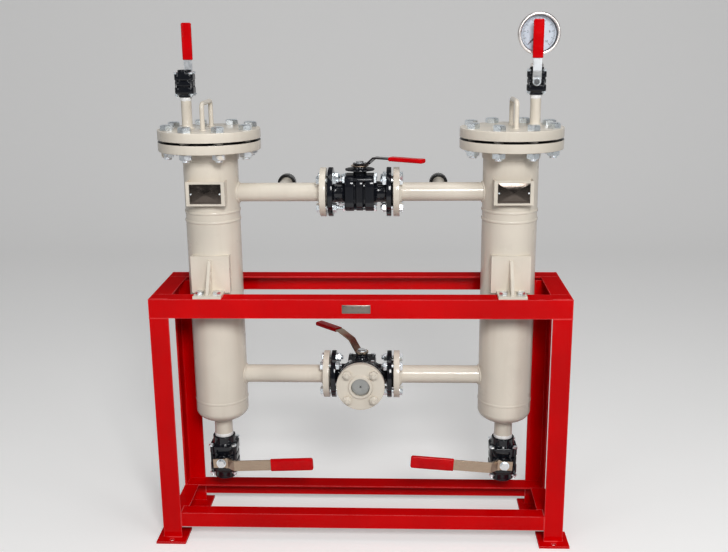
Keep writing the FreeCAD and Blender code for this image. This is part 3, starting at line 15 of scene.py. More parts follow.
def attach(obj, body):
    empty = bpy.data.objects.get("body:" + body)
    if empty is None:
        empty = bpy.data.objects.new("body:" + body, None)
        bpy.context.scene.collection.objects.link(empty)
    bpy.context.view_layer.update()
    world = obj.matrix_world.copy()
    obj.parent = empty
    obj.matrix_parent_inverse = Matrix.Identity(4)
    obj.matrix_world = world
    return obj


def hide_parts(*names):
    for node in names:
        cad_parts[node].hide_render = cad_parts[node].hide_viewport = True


log = logging.getLogger("duplex_filter")
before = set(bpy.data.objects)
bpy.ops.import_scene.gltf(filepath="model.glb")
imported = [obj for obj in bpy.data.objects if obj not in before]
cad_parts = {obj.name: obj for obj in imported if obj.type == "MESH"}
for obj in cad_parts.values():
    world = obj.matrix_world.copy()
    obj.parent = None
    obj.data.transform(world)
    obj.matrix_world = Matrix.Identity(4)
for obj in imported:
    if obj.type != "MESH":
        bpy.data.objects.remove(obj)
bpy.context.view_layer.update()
MM = 0.001
TAU = 2 * math.pi
Pair = tuple[float, float]
Triple = tuple[float, float, float]
Socket = bpy.types.NodeSocket

# Sizes shared by several sub-assemblies, in millimetres

VESSEL_X = 385.0
VESSEL_R = 70.65
JOINT_Z = 1062.2
LID_TOP = 1089.9
UPPER_Z = 925.0
LOWER_Z = 426.0
PIPE_R = 24.15
FRAME_TOP = 675.0
DRAIN_Z = 186.0
VENT_Z = 1203.0
LEFT_VENT_X = -440.0
RIGHT_VENT_X = 442.5
VENT_TWIST = -6.0
# Heights of the gap under the covers, where the cream paint is painted nearly black as shade
JOINT_GAP_SHADE = (1060.0, 1066.5)


class Outline(Enum):
    """Shape of a turned piece seen along its axis."""

    ROUND = "round"
    SQUARE = "square"
    HEX = "hex"


def linear(red: int, green: int, blue: int) -> Triple:
    """Scene colour of a colour given in display steps from 0 to 255.

    Args:
        red: Red step.
        green: Green step.
        blue: Blue step.

    Returns:
        Linear red, green and blue.
    """
    display = np.array([red, green, blue]) / 255.0
    low, high = display / 12.92, ((display + 0.055) / 1.055) ** 2.4
    return tuple(float(c) for c in np.where(display <= 0.04045, low, high))


# Places


@dataclass(frozen=True)
class Place:
    """Origin and three unit axes of a piece, in millimetres."""

    origin: Triple
    axes: tuple[Triple, ...] = ((1, 0, 0), (0, 1, 0), (0, 0, 1))

    @classmethod
    def along(cls, origin: Triple, axis: str, spin: float = 0.0) -> "Place":
        """Place whose third axis points along a named world axis.

        Args:
            origin: Origin in millimetres.
            axis: Name such as "+Z" or "-X".
            spin: Turn about that axis in degrees.

        Returns:
            The place.
        """
        tables = {
            "+Z": ((1, 0, 0), (0, 1, 0), (0, 0, 1)),
            "-Z": ((1, 0, 0), (0, -1, 0), (0, 0, -1)),
            "+X": ((0, 1, 0), (0, 0, 1), (1, 0, 0)),
            "-X": ((0, -1, 0), (0, 0, 1), (-1, 0, 0)),
            "+Y": ((-1, 0, 0), (0, 0, 1), (0, 1, 0)),
            "-Y": ((1, 0, 0), (0, 0, 1), (0, -1, 0)),
        }
        u, v, w = (np.array(a, float) for a in tables[axis])
        c, s = math.cos(math.radians(spin)), math.sin(math.radians(spin))
        return cls(origin, (tuple(u * c + v * s), tuple(v * c - u * s), tuple(w)))

    def moved(self, x: float, y: float, z: float = 0.0, spin: float = 0.0) -> "Place":
        """Place shifted in its own axes and turned about its third axis.

        Args:
            x: Shift along the first axis.
            y: Shift along the second axis.
            z: Shift along the third axis.
            spin: Turn about the third axis in degrees.

        Returns:
            The new place.
        """
        u, v, w = (np.array(a, float) for a in self.axes)
        origin = np.array(self.origin, float) + u * x + v * y + w * z
        c, s = math.cos(math.radians(spin)), math.sin(math.radians(spin))
        return Place(tuple(origin), (tuple(u * c + v * s), tuple(v * c - u * s), tuple(w)))

    def flipped(self) -> "Place":
        """Place turned half round its first axis, so that its third axis points back."""
        u, v, w = self.axes
        return Place(self.origin, (u, tuple(-c for c in v), tuple(-c for c in w)))

    def put(self, points: np.ndarray) -> np.ndarray:
        """World position of points given in the place's own axes."""
        return points @ np.array(self.axes, float) + np.array(self.origin, float)


def right_vent_front() -> Place:
    """Middle of the right vent valve, with the third axis to its twisted front."""
    c, s = math.cos(math.radians(VENT_TWIST)), math.sin(math.radians(VENT_TWIST))
    return Place((RIGHT_VENT_X, 0, VENT_Z), ((c, s, 0), (0, 0, 1), (s, -c, 0)))


# Surfaces


@dataclass(frozen=True)
class Surface:
    """Points in millimetres with quads and triangles as index arrays."""

    points: np.ndarray
    quads: np.ndarray
    triangles: np.ndarray

    def outward(self) -> "Surface":
        """Surface with its faces turned so that its signed volume is positive."""
        p = self.points
        q = self.quads
        whole = np.vstack([self.triangles, q[:, [0, 1, 2]], q[:, [0, 2, 3]]])
        a, b, c = (p[whole[:, k]] - p.mean(0) for k in range(3))
        if float(np.einsum("ij,ij->i", a, np.cross(b, c)).sum()) >= 0:
            return self
        return Surface(p, q[:, ::-1], self.triangles[:, ::-1])

    def at(self, place: Place) -> "Surface":
        """Surface put into a place."""
        return Surface(place.put(self.points), self.quads, self.triangles).outward()


def joined(surfaces: list[Surface]) -> Surface:
    """One surface that holds several.

    Args:
        surfaces: Surfaces to gather.

    Returns:
        Their points and faces in one set of arrays.
    """
    counts = np.cumsum([0] + [len(s.points) for s in surfaces])
    return Surface(
        np.vstack([s.points for s in surfaces]),
        np.vstack([s.quads + n for s, n in zip(surfaces, counts)]),
        np.vstack([s.triangles + n for s, n in zip(surfaces, counts)]),
    )


def net(rows: int, columns: int, rows_closed: bool, columns_closed: bool = True) -> np.ndarray:
    """Quads between the neighbouring points of a grid.

    Args:
        rows: Number of rows.
        columns: Points in a row.
        rows_closed: Whether the last row joins the first.
        columns_closed: Whether the last column joins the first.

    Returns:
        Index array with four columns.
    """
    i = np.arange(rows if rows_closed else rows - 1)
    j = np.arange(columns if columns_closed else columns - 1)
    i, j = np.meshgrid(i, j, indexing="ij")
    below, right = (i + 1) % rows, (j + 1) % columns
    corners = (i * columns + j, i * columns + right, below * columns + right, below * columns + j)
    return np.stack([c.ravel() for c in corners], axis=1)


def capped(grid: np.ndarray) -> Surface:
    """Closed surface of a grid of rings, with its two ends closed by fans.

    Formula: row i is a closed ring; the fan's middle is the mean of the end ring.

    Args:
        grid: Array of rows, ring points and coordinates.

    Returns:
        The closed surface.
    """
    rows, columns = grid.shape[:2]
    points = np.vstack([grid.reshape(-1, 3), grid[0].mean(0), grid[-1].mean(0)])
    j = np.arange(columns)
    right = (j + 1) % columns
    last = (rows - 1) * columns
    low = np.stack([np.full(columns, rows * columns), right, j], axis=1)
    high = np.stack([np.full(columns, rows * columns + 1), last + j, last + right], axis=1)
    return Surface(points, net(rows, columns, False), np.vstack([low, high]))


def reach(outline: Outline, half: np.ndarray, angle: np.ndarray, corner: float) -> np.ndarray:
    """Distance from the axis to the outline.

    Formula: a circle's is its radius; a hexagon's is half its flats over the cosine of the angle to
    the nearest flat; a rounded square's is its half side over the cosine, or the far hit on the
    corner's arc where the ray passes through the corner.

    Args:
        outline: Shape seen along the axis.
        half: Radius, half side or half flats.
        angle: Angle about the axis in radians.
        corner: Corner radius of a square.

    Returns:
        Distances, broadcast over half and angle.
    """
    if outline is Outline.ROUND:
        return half + 0 * angle
    if outline is Outline.HEX:
        return half / np.cos((angle + TAU / 12) % (TAU / 6) - TAU / 12)
    fold = np.abs((angle + TAU / 8) % (TAU / 4) - TAU / 8)
    radius = np.minimum(corner, half * 0.999)
    middle = half - radius
    straight = half / np.cos(fold)
    along = middle * (np.cos(fold) + np.sin(fold))
    arc = along + np.sqrt(np.maximum(along**2 - 2 * middle**2 + radius**2, 0))
    return np.where(half * np.tan(fold) <= middle, straight, arc)


def eased(points: list[Pair], radius: float, steps: int = 3) -> np.ndarray:
    """Line through points with its inner corners rounded.

    Formula: each corner gives way to the quadratic curve between two points on its runs, each the
    radius away, or 45 percent of a shorter run.

    Args:
        points: Corners of the line, in two or three coordinates.
        radius: Distance kept from each corner.
        steps: Points on each curve less one.

    Returns:
        Array of points.
    """
    p = np.array(points, float)
    before, corner, after = p[:-2], p[1:-1], p[2:]
    back, ahead = before - corner, after - corner
    back_run = np.linalg.norm(back, axis=1, keepdims=True)
    ahead_run = np.linalg.norm(ahead, axis=1, keepdims=True)
    start = corner + back * np.minimum(radius / back_run, 0.45)
    end = corner + ahead * np.minimum(radius / ahead_run, 0.45)
    t = np.linspace(0, 1, steps + 1)[None, :, None]
    curve = (1 - t) ** 2 * start[:, None] + 2 * t * (1 - t) * corner[:, None] + t**2 * end[:, None]
    return np.vstack([p[:1], curve.reshape(-1, p.shape[1]), p[-1:]])


def turned(
    profile: np.ndarray,
    around: int = 72,
    outline: Outline = Outline.ROUND,
    corner: float = 0.0,
    ripple: tuple[int, float] = (0, 0.0),
) -> Surface:
    """Piece turned about +Z from a profile of distances and heights.

    Formula: the point at profile row i and angle a lies at the outline's reach for that row's
    distance, plus the ripple's height times the cosine of its count times a, at the row's height.

    Args:
        profile: Rows of distance from the axis and height, from the axis below to the axis above,
            or a closed loop that doesn't touch the axis.
        around: Points on a ring.
        outline: Shape seen along the axis.
        corner: Corner radius of a square outline.
        ripple: Count and height of ripples on the outermost rows.

    Returns:
        The closed surface.
    """
    profile = np.array(profile, float)
    loop = bool(profile[0, 0] > 1e-6)
    rows = profile if loop else profile[1:-1]
    angle = np.arange(around) / around * TAU
    far = reach(outline, rows[:, :1], angle[None, :], corner)
    outer = rows[:, :1] > rows[:, 0].max() - 0.6
    far = far + outer * ripple[1] * np.cos(ripple[0] * angle)[None, :]
    height = np.repeat(rows[:, 1:], around, axis=1)
    grid = np.stack([far * np.cos(angle), far * np.sin(angle), height], axis=2)
    if not loop:
        return capped(grid).outward()
    return Surface(grid.reshape(-1, 3), net(len(rows), around, True), np.zeros((0, 3), int)).outward()


def bored(outer: np.ndarray, inner: np.ndarray) -> np.ndarray:
    """Closed profile from an outer line upwards and an inner line that comes back down."""
    return np.vstack([outer, np.array(inner, float)[::-1]])


def carried(section: np.ndarray, path: np.ndarray, side: Triple, closed: bool = False) -> Surface:
    """Section carried along a path.

    Formula: at each path point the section's first coordinate runs along the cross product of the
    fixed side and the path's direction, and its second along the side made square to the direction.

    Args:
        section: Ring of points in two coordinates, or one ring for each path point.
        path: Points of the path.
        side: Direction roughly square to the path.
        closed: Whether the path's end joins its start.

    Returns:
        The closed surface.
    """
    path = np.array(path, float)
    if closed:
        run = np.roll(path, -1, axis=0) - np.roll(path, 1, axis=0)
    else:
        run = np.gradient(path, axis=0)
    run /= np.linalg.norm(run, axis=1, keepdims=True)
    across = np.cross(np.array(side, float), run)
    across /= np.linalg.norm(across, axis=1, keepdims=True)
    third = np.cross(run, across)
    rings = section if section.ndim == 3 else np.repeat(section[None], len(path), axis=0)
    grid = path[:, None] + rings[..., :1] * across[:, None] + rings[..., 1:] * third[:, None]
    if not closed:
        return capped(grid).outward()
    faces = net(len(path), rings.shape[1], True)
    return Surface(grid.reshape(-1, 3), faces, np.zeros((0, 3), int)).outward()


def circle(radius: float, count: int) -> np.ndarray:
    """Ring of points on a circle."""
    a = np.arange(count) / count * TAU
    return np.stack([np.cos(a), np.sin(a)], axis=1) * radius


def hoop(radius: float, height: float, count: int, x: float = 0.0, y: float = 0.0) -> np.ndarray:
    """Points of a level circle round (x, y) at a height."""
    a = np.linspace(0, TAU, count, endpoint=False)
    return np.stack([np.cos(a) * radius + x, np.sin(a) * radius + y, a * 0 + height], axis=1)


def weld(path: np.ndarray, size: float, side: Triple, closed: bool = False) -> Surface:
    """Weld bead with the overlapping ripples of a hand-run weld.

    Formula: a circle of the bead's size is carried along the path, and grows and shrinks by an
    eighth with the absolute sine of the distance run over the bead's size.

    Args:
        path: Points of the seam.
        size: Radius of the bead.
        side: Direction roughly square to the seam.
        closed: Whether the seam is a ring.

    Returns:
        The bead.
    """
    path = np.array(path, float)
    steps = np.linalg.norm(np.diff(path, axis=0), axis=1)
    run = np.concatenate([[0], np.cumsum(steps)])
    swell = 0.88 + 0.16 * np.abs(np.sin(run / size * 1.3)) + 0.05 * np.sin(run / size * 0.37)
    return carried(circle(size, 10)[None] * swell[:, None, None], path, side, closed)


def seam(start: Triple, end: Triple, size: float) -> Surface:
    """Straight weld bead between two points, with tapered ends.

    Args:
        start: First point.
        end: Last point.
        size: Radius of the bead.

    Returns:
        The bead.
    """
    a, b = np.array(start, float), np.array(end, float)
    count = max(8, int(np.linalg.norm(b - a) / size * 1.6))
    t = np.linspace(0, 1, count)[:, None]
    side = (0, 0, 1) if abs(b - a)[2] < np.linalg.norm(b - a) * 0.9 else (0, 1, 0)
    return weld(a + (b - a) * t, size, side)


def rounded_block(size: Triple, edge: float, steps: int = 3) -> Surface:
    """Block about the origin with rounded edges.

    Formula: every point of a small sphere of the edge's radius is pushed out to the block's inner
    corner on its own side; angles at the quadrants' borders come twice, which makes the flat faces.

    Args:
        size: Full sizes along the three axes.
        edge: Edge radius.
        steps: Facets in a quarter turn.

    Returns:
        The closed surface.
    """
    quarter = np.linspace(0, TAU / 4, steps + 1)
    turn = (np.arange(4)[:, None] * TAU / 4 + quarter).ravel()
    sign_x = np.repeat([1, -1, -1, 1], steps + 1)
    sign_y = np.repeat([1, 1, -1, -1], steps + 1)
    tilt = np.concatenate([quarter - TAU / 4, quarter])
    sign_z = np.repeat([-1, 1], steps + 1)
    inner = np.array(size, float) / 2 - edge
    flat = np.cos(tilt)[:, None] * edge
    x = flat * np.cos(turn) + sign_x * inner[0]
    y = flat * np.sin(turn) + sign_y * inner[1]
    z = np.repeat((np.sin(tilt) * edge + sign_z * inner[2])[:, None], len(turn), axis=1)
    return capped(np.stack([x, y, z], axis=2)).outward()


# Finishes


class Shader:
    """Node material being put together around one principled shader."""

    def __init__(self, name: str) -> None:
        """Empty material with its shader and object coordinates."""
        self.material = bpy.data.materials.new(name)
        self.material.use_nodes = True
        self.nodes = self.material.node_tree.nodes
        self.links = self.material.node_tree.links
        self.shader = self.nodes["Principled BSDF"]
        self.place = self.nodes.new("ShaderNodeTexCoord").outputs["Object"]

    def stretched(self, scale: Triple) -> Socket:
        """Object coordinates scaled along each axis."""
        mapping = self.nodes.new("ShaderNodeMapping")
        mapping.inputs["Scale"].default_value = scale
        self.links.new(self.place, mapping.inputs["Vector"])
        return mapping.outputs["Vector"]

    def noise(self, scale: float, detail: float = 3.0, place: Socket | None = None) -> Socket:
        """Noise value in object coordinates.

        Args:
            scale: Waves per metre.
            detail: Octaves.
            place: Coordinates to read, or none for the object's own.

        Returns:
            The noise output.
        """
        node = self.nodes.new("ShaderNodeTexNoise")
        node.inputs["Scale"].default_value = scale
        node.inputs["Detail"].default_value = detail
        self.links.new(place or self.place, node.inputs["Vector"])
        return node.outputs["Fac"]

    def spread(self, value: Socket, low: float, high: float, start: float, end: float) -> Socket:
        """Value clamped and carried from one range to another.

        Args:
            value: Socket to read.
            low: Value that gives start.
            high: Value that gives end.
            start: First result.
            end: Last result.

        Returns:
            The result socket.
        """
        node = self.nodes.new("ShaderNodeMapRange")
        for name, number in (("From Min", low), ("From Max", high), ("To Min", start), ("To Max", end)):
            node.inputs[name].default_value = number
        self.links.new(value, node.inputs["Value"])
        return node.outputs["Result"]

    def product(self, a: Socket, b: Socket | float, kind: str = "MULTIPLY") -> Socket:
        """Two values joined by a math node; the second may be a number.

        Args:
            a: First value.
            b: Second value.
            kind: Name of the operation.

        Returns:
            The result socket.
        """
        node = self.nodes.new("ShaderNodeMath")
        node.operation = kind
        self.links.new(a, node.inputs[0])
        if isinstance(b, float):
            node.inputs[1].default_value = b
        else:
            self.links.new(b, node.inputs[1])
        return node.outputs[0]

    def blend(self, share: Socket, first: object, second: object) -> Socket:
        """Colour between two colours or colour sockets.

        Args:
            share: Socket with the second colour's share.
            first: Colour or socket.
            second: Colour or socket.

        Returns:
            The colour output.
        """
        node = self.nodes.new("ShaderNodeMix")
        node.data_type = "RGBA"
        self.links.new(share, node.inputs["Factor"])
        for socket, colour in ((node.inputs[6], first), (node.inputs[7], second)):
            if isinstance(colour, Socket):
                self.links.new(colour, socket)
            else:
                socket.default_value = (*colour, 1.0)
        return node.outputs[2]

    def bump(self, layers: list[tuple[Socket, float]]) -> None:
        """Stack bump layers onto the shader's normal.

        Args:
            layers: Heights with the depth of each in metres.
        """
        normal = None
        for height, depth in layers:
            node = self.nodes.new("ShaderNodeBump")
            node.inputs["Distance"].default_value = depth
            self.links.new(height, node.inputs["Height"])
            if normal is not None:
                self.links.new(normal, node.inputs["Normal"])
            normal = node.outputs["Normal"]
        self.links.new(normal, self.shader.inputs["Normal"])

    def feed(self, name: str, value: Socket) -> None:
        """Link a value to the shader's socket of that name."""
        self.links.new(value, self.shader.inputs[name])

    def upward(self) -> Socket:
        """How far the surface faces up, from -1 to 1."""
        node = self.nodes.new("ShaderNodeSeparateXYZ")
        geometry = self.nodes.new("ShaderNodeNewGeometry")
        self.links.new(geometry.outputs["Normal"], node.inputs[0])
        return node.outputs["Z"]

    def arris(self, reach_out: float) -> Socket:
        """1 on the edges of the piece and 0 on its faces, from the turn of a rounded normal.

        Args:
            reach_out: Width of the edge in metres.

        Returns:
            Socket with the mask.
        """
        rounded = self.nodes.new("ShaderNodeBevel")
        rounded.samples = 4
        rounded.inputs["Radius"].default_value = reach_out
        geometry = self.nodes.new("ShaderNodeNewGeometry")
        dot = self.nodes.new("ShaderNodeVectorMath")
        dot.operation = "DOT_PRODUCT"
        self.links.new(rounded.outputs[0], dot.inputs[0])
        self.links.new(geometry.outputs["Normal"], dot.inputs[1])
        return self.spread(dot.outputs["Value"], 0.86, 0.99, 1.0, 0.0)

    def between(self, low: float, high: float) -> Socket:
        """1 where the height lies between two values in metres, else 0.

        Args:
            low: Lower height.
            high: Upper height.

        Returns:
            Socket with the mask.
        """
        node = self.nodes.new("ShaderNodeSeparateXYZ")
        self.links.new(self.place, node.inputs[0])
        above = self.product(node.outputs["Z"], low, "GREATER_THAN")
        return self.product(above, self.product(node.outputs["Z"], high, "LESS_THAN"))


@dataclass(frozen=True)
class Finish:
    """A finish, with the name of a material slot of the record; the name is kept here but no slot is
    assigned.
    """

    slot: str
    colour: Triple
    roughness: float = 0.3

    def dress(self, shader: Shader) -> None:
        """Add the nodes of this finish."""
        raise NotImplementedError

    def material(self, name: str) -> bpy.types.Material:
        """Material of this finish, made once for each name.

        Args:
            name: Name of the finish.

        Returns:
            The node material.
        """
        known = bpy.data.materials.get(name)
        if known is not None:
            return known
        shader = Shader(name)
        shader.shader.inputs["Roughness"].default_value = self.roughness
        self.dress(shader)
        return shader.material


@dataclass(frozen=True)
class Enamel(Finish):
    """Sprayed paint with orange peel, thin runs, settled dust and small chips, plus an optional painted
    highlight on the edges and painted dark shade in a band of heights.
    """

    grime: Triple = (0.2, 0.15, 0.1)
    chip: Triple = (0.25, 0.16, 0.11)
    coat: float = 0.2
    gloss: float = 0.3
    dust: float = 0.1
    peel: float = 0.00005
    casting: float = 0.0
    # Band of heights in millimetres painted nearly black as shade
    gap: Pair | None = None
    # Colour and width of a painted highlight along the piece's edges
    edge: Triple | None = None
    edge_width: float = 0.0028

    def dress(self, shader: Shader) -> None:
        """Colour drifts slowly, dirt gathers in streaks and on top, chips show a darker ground; a painted
        highlight can lighten the edges and painted shade can darken a band of heights.
        """
        drift = shader.noise(5.0, 2.0)
        shade = tuple(c * 0.84 for c in self.colour)
        lift = tuple(min(1.0, c * 1.07) for c in self.colour)
        paint = shader.blend(shader.spread(drift, 0.3, 0.7, 0, 1), shade, lift)
        streak = shader.noise(9.0, 4.0, shader.stretched((6.0, 6.0, 0.5)))
        dirty = shader.spread(streak, 0.52, 0.78, 0.0, self.dust)
        speck = shader.spread(shader.noise(420.0, 2.0), 0.72, 0.78, 0.0, 0.75)
        settled = shader.spread(shader.upward(), 0.75, 1.0, 0.0, self.dust * 0.8)
        patches = shader.spread(shader.noise(34.0, 4.0), 0.45, 0.62, 0.15, 1.0)
        soil = shader.product(dirty, shader.product(settled, patches), "MAXIMUM")
        paint = shader.blend(soil, paint, self.grime)
        worn = shader.product(speck, shader.spread(shader.noise(11.0, 3.0), 0.62, 0.7, 0.0, 1.0))
        paint = shader.blend(worn, paint, self.chip)
        # Painted highlight: the edges are blended, in patches, towards the lighter edge colour
        if self.edge:
            highlight_patches = shader.spread(shader.noise(30.0, 3.0), 0.3, 0.6, 0.35, 0.9)
            paint = shader.blend(shader.product(shader.arris(self.edge_width), highlight_patches), paint, self.edge)
        # Painted shade: inside that band of heights the paint turns nearly black
        if self.gap:
            low, high = (height * MM for height in self.gap)
            paint = shader.blend(shader.between(low, high), paint, (0.012, 0.01, 0.009))
        shader.feed("Base Color", paint)
        smooth, coarse = self.roughness * 0.75, self.roughness * 1.35
        rough = shader.spread(shader.noise(16.0, 4.0), 0.3, 0.7, smooth, coarse)
        shader.feed("Roughness", shader.product(rough, shader.spread(soil, 0, 1, 0, 0.5), "ADD"))
        shader.shader.inputs["Specular IOR Level"].default_value = self.gloss
        shader.feed("Coat Weight", shader.spread(shader.upward(), 0.9, 0.97, self.coat, self.coat * 0.25))
        shader.shader.inputs["Coat Roughness"].default_value = 0.1
        layers = [(shader.noise(260.0, 2.0), self.peel), (shader.noise(38.0, 3.0), self.peel * 5)]
        if self.casting:
            layers.append((shader.noise(620.0, 4.0), self.casting))
        shader.bump(layers)


@dataclass(frozen=True)
class Metal(Finish):
    """Bare or plated metal with a grain, stains and fine scratches."""

    stain: Triple = (0.3, 0.24, 0.18)
    stained: float = 0.3
    grain: Triple = (1.0, 1.0, 1.0)
    contrast: float = 0.12
    overspray: Triple | None = None

    def dress(self, shader: Shader) -> None:
        """Grain stretches along the rolling direction, stains dull it, overspray covers patches."""
        shader.shader.inputs["Metallic"].default_value = 1.0
        grained = shader.stretched(self.grain)
        fine = shader.noise(700.0, 3.0, grained)
        spots = shader.spread(shader.noise(46.0, 4.0), 0.5, 0.72, 0.0, self.stained)
        bright = tuple(min(1.0, c * (1 + self.contrast / 2)) for c in self.colour)
        dull = tuple(c * (1 - self.contrast) for c in self.colour)
        metal = shader.blend(shader.spread(fine, 0.35, 0.65, 0, 1), dull, bright)
        colour = shader.blend(spots, metal, self.stain)
        rough = shader.spread(fine, 0.3, 0.7, self.roughness * 0.7, self.roughness * 1.4)
        rough = shader.product(rough, shader.spread(spots, 0, 1, 0, 0.45), "ADD")
        if self.overspray:
            cover = shader.spread(shader.noise(24.0, 3.0), 0.54, 0.62, 0.0, 1.0)
            colour = shader.blend(cover, colour, self.overspray)
            shader.feed("Metallic", shader.spread(cover, 0, 1, 1, 0))
        shader.feed("Base Color", colour)
        shader.feed("Roughness", rough)
        shader.bump([(fine, 0.00002), (shader.noise(90.0, 2.0), 0.00003)])


@dataclass(frozen=True)
class Moulding(Finish):
    """Plastic or rubber with a fine moulded skin, scuffs and a little settled dust."""

    skin: float = 0.00005
    scuff: float = 0.25
    coat: float = 0.0
    gloss: float = 0.3

    def dress(self, shader: Shader) -> None:
        """Colour varies a little, scuffs are paler and rougher than the skin."""
        shader.shader.inputs["Coat Weight"].default_value = self.coat
        shader.shader.inputs["Coat Roughness"].default_value = 0.12
        shader.shader.inputs["Specular IOR Level"].default_value = self.gloss
        shade = tuple(c * 0.8 for c in self.colour)
        base = shader.blend(shader.spread(shader.noise(30.0, 3.0), 0.3, 0.7, 0, 1), shade, self.colour)
        scratches = shader.noise(120.0, 5.0, shader.stretched((0.6, 2.2, 1.0)))
        scuffs = shader.spread(scratches, 0.6, 0.75, 0.0, self.scuff)
        pale = tuple(c * 0.6 + 0.16 for c in self.colour)
        shader.feed("Base Color", shader.blend(scuffs, base, pale))
        rough = shader.spread(shader.noise(55.0, 3.0), 0.3, 0.7, self.roughness * 0.8, self.roughness * 1.3)
        shader.feed("Roughness", shader.product(rough, shader.spread(scuffs, 0, 1, 0, 0.5), "ADD"))
        shader.bump([(shader.noise(900.0, 2.0), self.skin), (shader.noise(60.0, 2.0), self.skin * 2)])


@dataclass(frozen=True)
class Tape(Finish):
    """Thread tape: white film wound in wrinkled turns."""

    def dress(self, shader: Shader) -> None:
        """Wrinkles run round the thread and the thin film lets a little shade through."""
        wound = shader.stretched((0.5, 0.5, 3.0))
        wrinkle = shader.noise(210.0, 5.0, wound)
        thin = tuple(c * 0.88 for c in self.colour)
        shader.feed("Base Color", shader.blend(shader.spread(wrinkle, 0.35, 0.65, 0, 1), thin, self.colour))
        shader.bump([(wrinkle, 0.0003)])


@dataclass(frozen=True)
class Screen(Finish):
    """Stainless filter screen with a woven mesh."""

    def dress(self, shader: Shader) -> None:
        """Two crossed waves make the wires; the gaps between them are set back and painted dark as shade.
        """
        shader.shader.inputs["Metallic"].default_value = 1.0
        waves = []
        for direction in ("X", "Z"):
            node = shader.nodes.new("ShaderNodeTexWave")
            node.bands_direction = direction
            node.inputs["Scale"].default_value = 140.0
            shader.links.new(shader.place, node.inputs["Vector"])
            waves.append(node.outputs["Fac"])
        wires = shader.product(waves[0], waves[1], "MAXIMUM")
        # Painted shade: the gaps between the wires take a dark copy of the wire colour
        gap_shade = tuple(c * 0.3 for c in self.colour)
        shader.feed("Base Color", shader.blend(shader.spread(wires, 0.4, 0.8, 0, 1), gap_shade, self.colour))
        shader.bump([(wires, 0.0003)])


@dataclass(frozen=True)
class Print(Finish):
    """Printed dial card behind the window."""

    def dress(self, shader: Shader) -> None:
        """Card has a faint mottle and yellows slightly in patches."""
        aged = tuple(c * f for c, f in zip(self.colour, (0.97, 0.95, 0.9)))
        mottle = shader.spread(shader.noise(40.0, 3.0), 0.35, 0.7, 0, 1)
        shader.feed("Base Color", shader.blend(mottle, self.colour, aged))
        shader.bump([(shader.noise(800.0, 2.0), 0.00002)])


@dataclass(frozen=True)
class Pane(Finish):
    """Clear window with faint smears."""

    def dress(self, shader: Shader) -> None:
        """Mostly see-through; smears and dust catch the light."""
        smear = shader.noise(34.0, 4.0, shader.stretched((1.0, 1.0, 2.5)))
        shader.shader.inputs["Base Color"].default_value = (*self.colour, 1.0)
        shader.shader.inputs["IOR"].default_value = 1.5
        shader.feed("Roughness", shader.spread(smear, 0.4, 0.75, 0.03, 0.3))
        shader.feed("Alpha", shader.spread(smear, 0.45, 0.8, 0.03, 0.08))
        shader.bump([(smear, 0.00004)])


@dataclass(frozen=True)
class Ground(Finish):
    """Pale studio floor and backdrop."""

    bounce: float = 0.42
    glow: float = 0.36

    def dress(self, shader: Shader) -> None:
        """Even tone with a faint mottle; what it throws back onto the object is held down."""
        shade = tuple(c * 0.97 for c in self.colour)
        rays = shader.nodes.new("ShaderNodeLightPath")
        seen = shader.product(rays.outputs["Is Camera Ray"], rays.outputs["Is Glossy Ray"], "MAXIMUM")
        seen = shader.product(seen, rays.outputs["Is Transmission Ray"], "MAXIMUM")
        held = tuple(c * self.bounce for c in self.colour)
        tone = shader.blend(shader.noise(3.0, 3.0), shade, self.colour)
        shader.feed("Base Color", shader.blend(seen, held, tone))
        shader.shader.inputs["Emission Color"].default_value = (*self.colour, 1.0)
        shader.feed("Emission Strength", shader.spread(seen, 0, 1, 0, self.glow))
        shader.shader.inputs["Specular IOR Level"].default_value = 0.15
        shader.bump([(shader.noise(120.0, 3.0), 0.0001)])


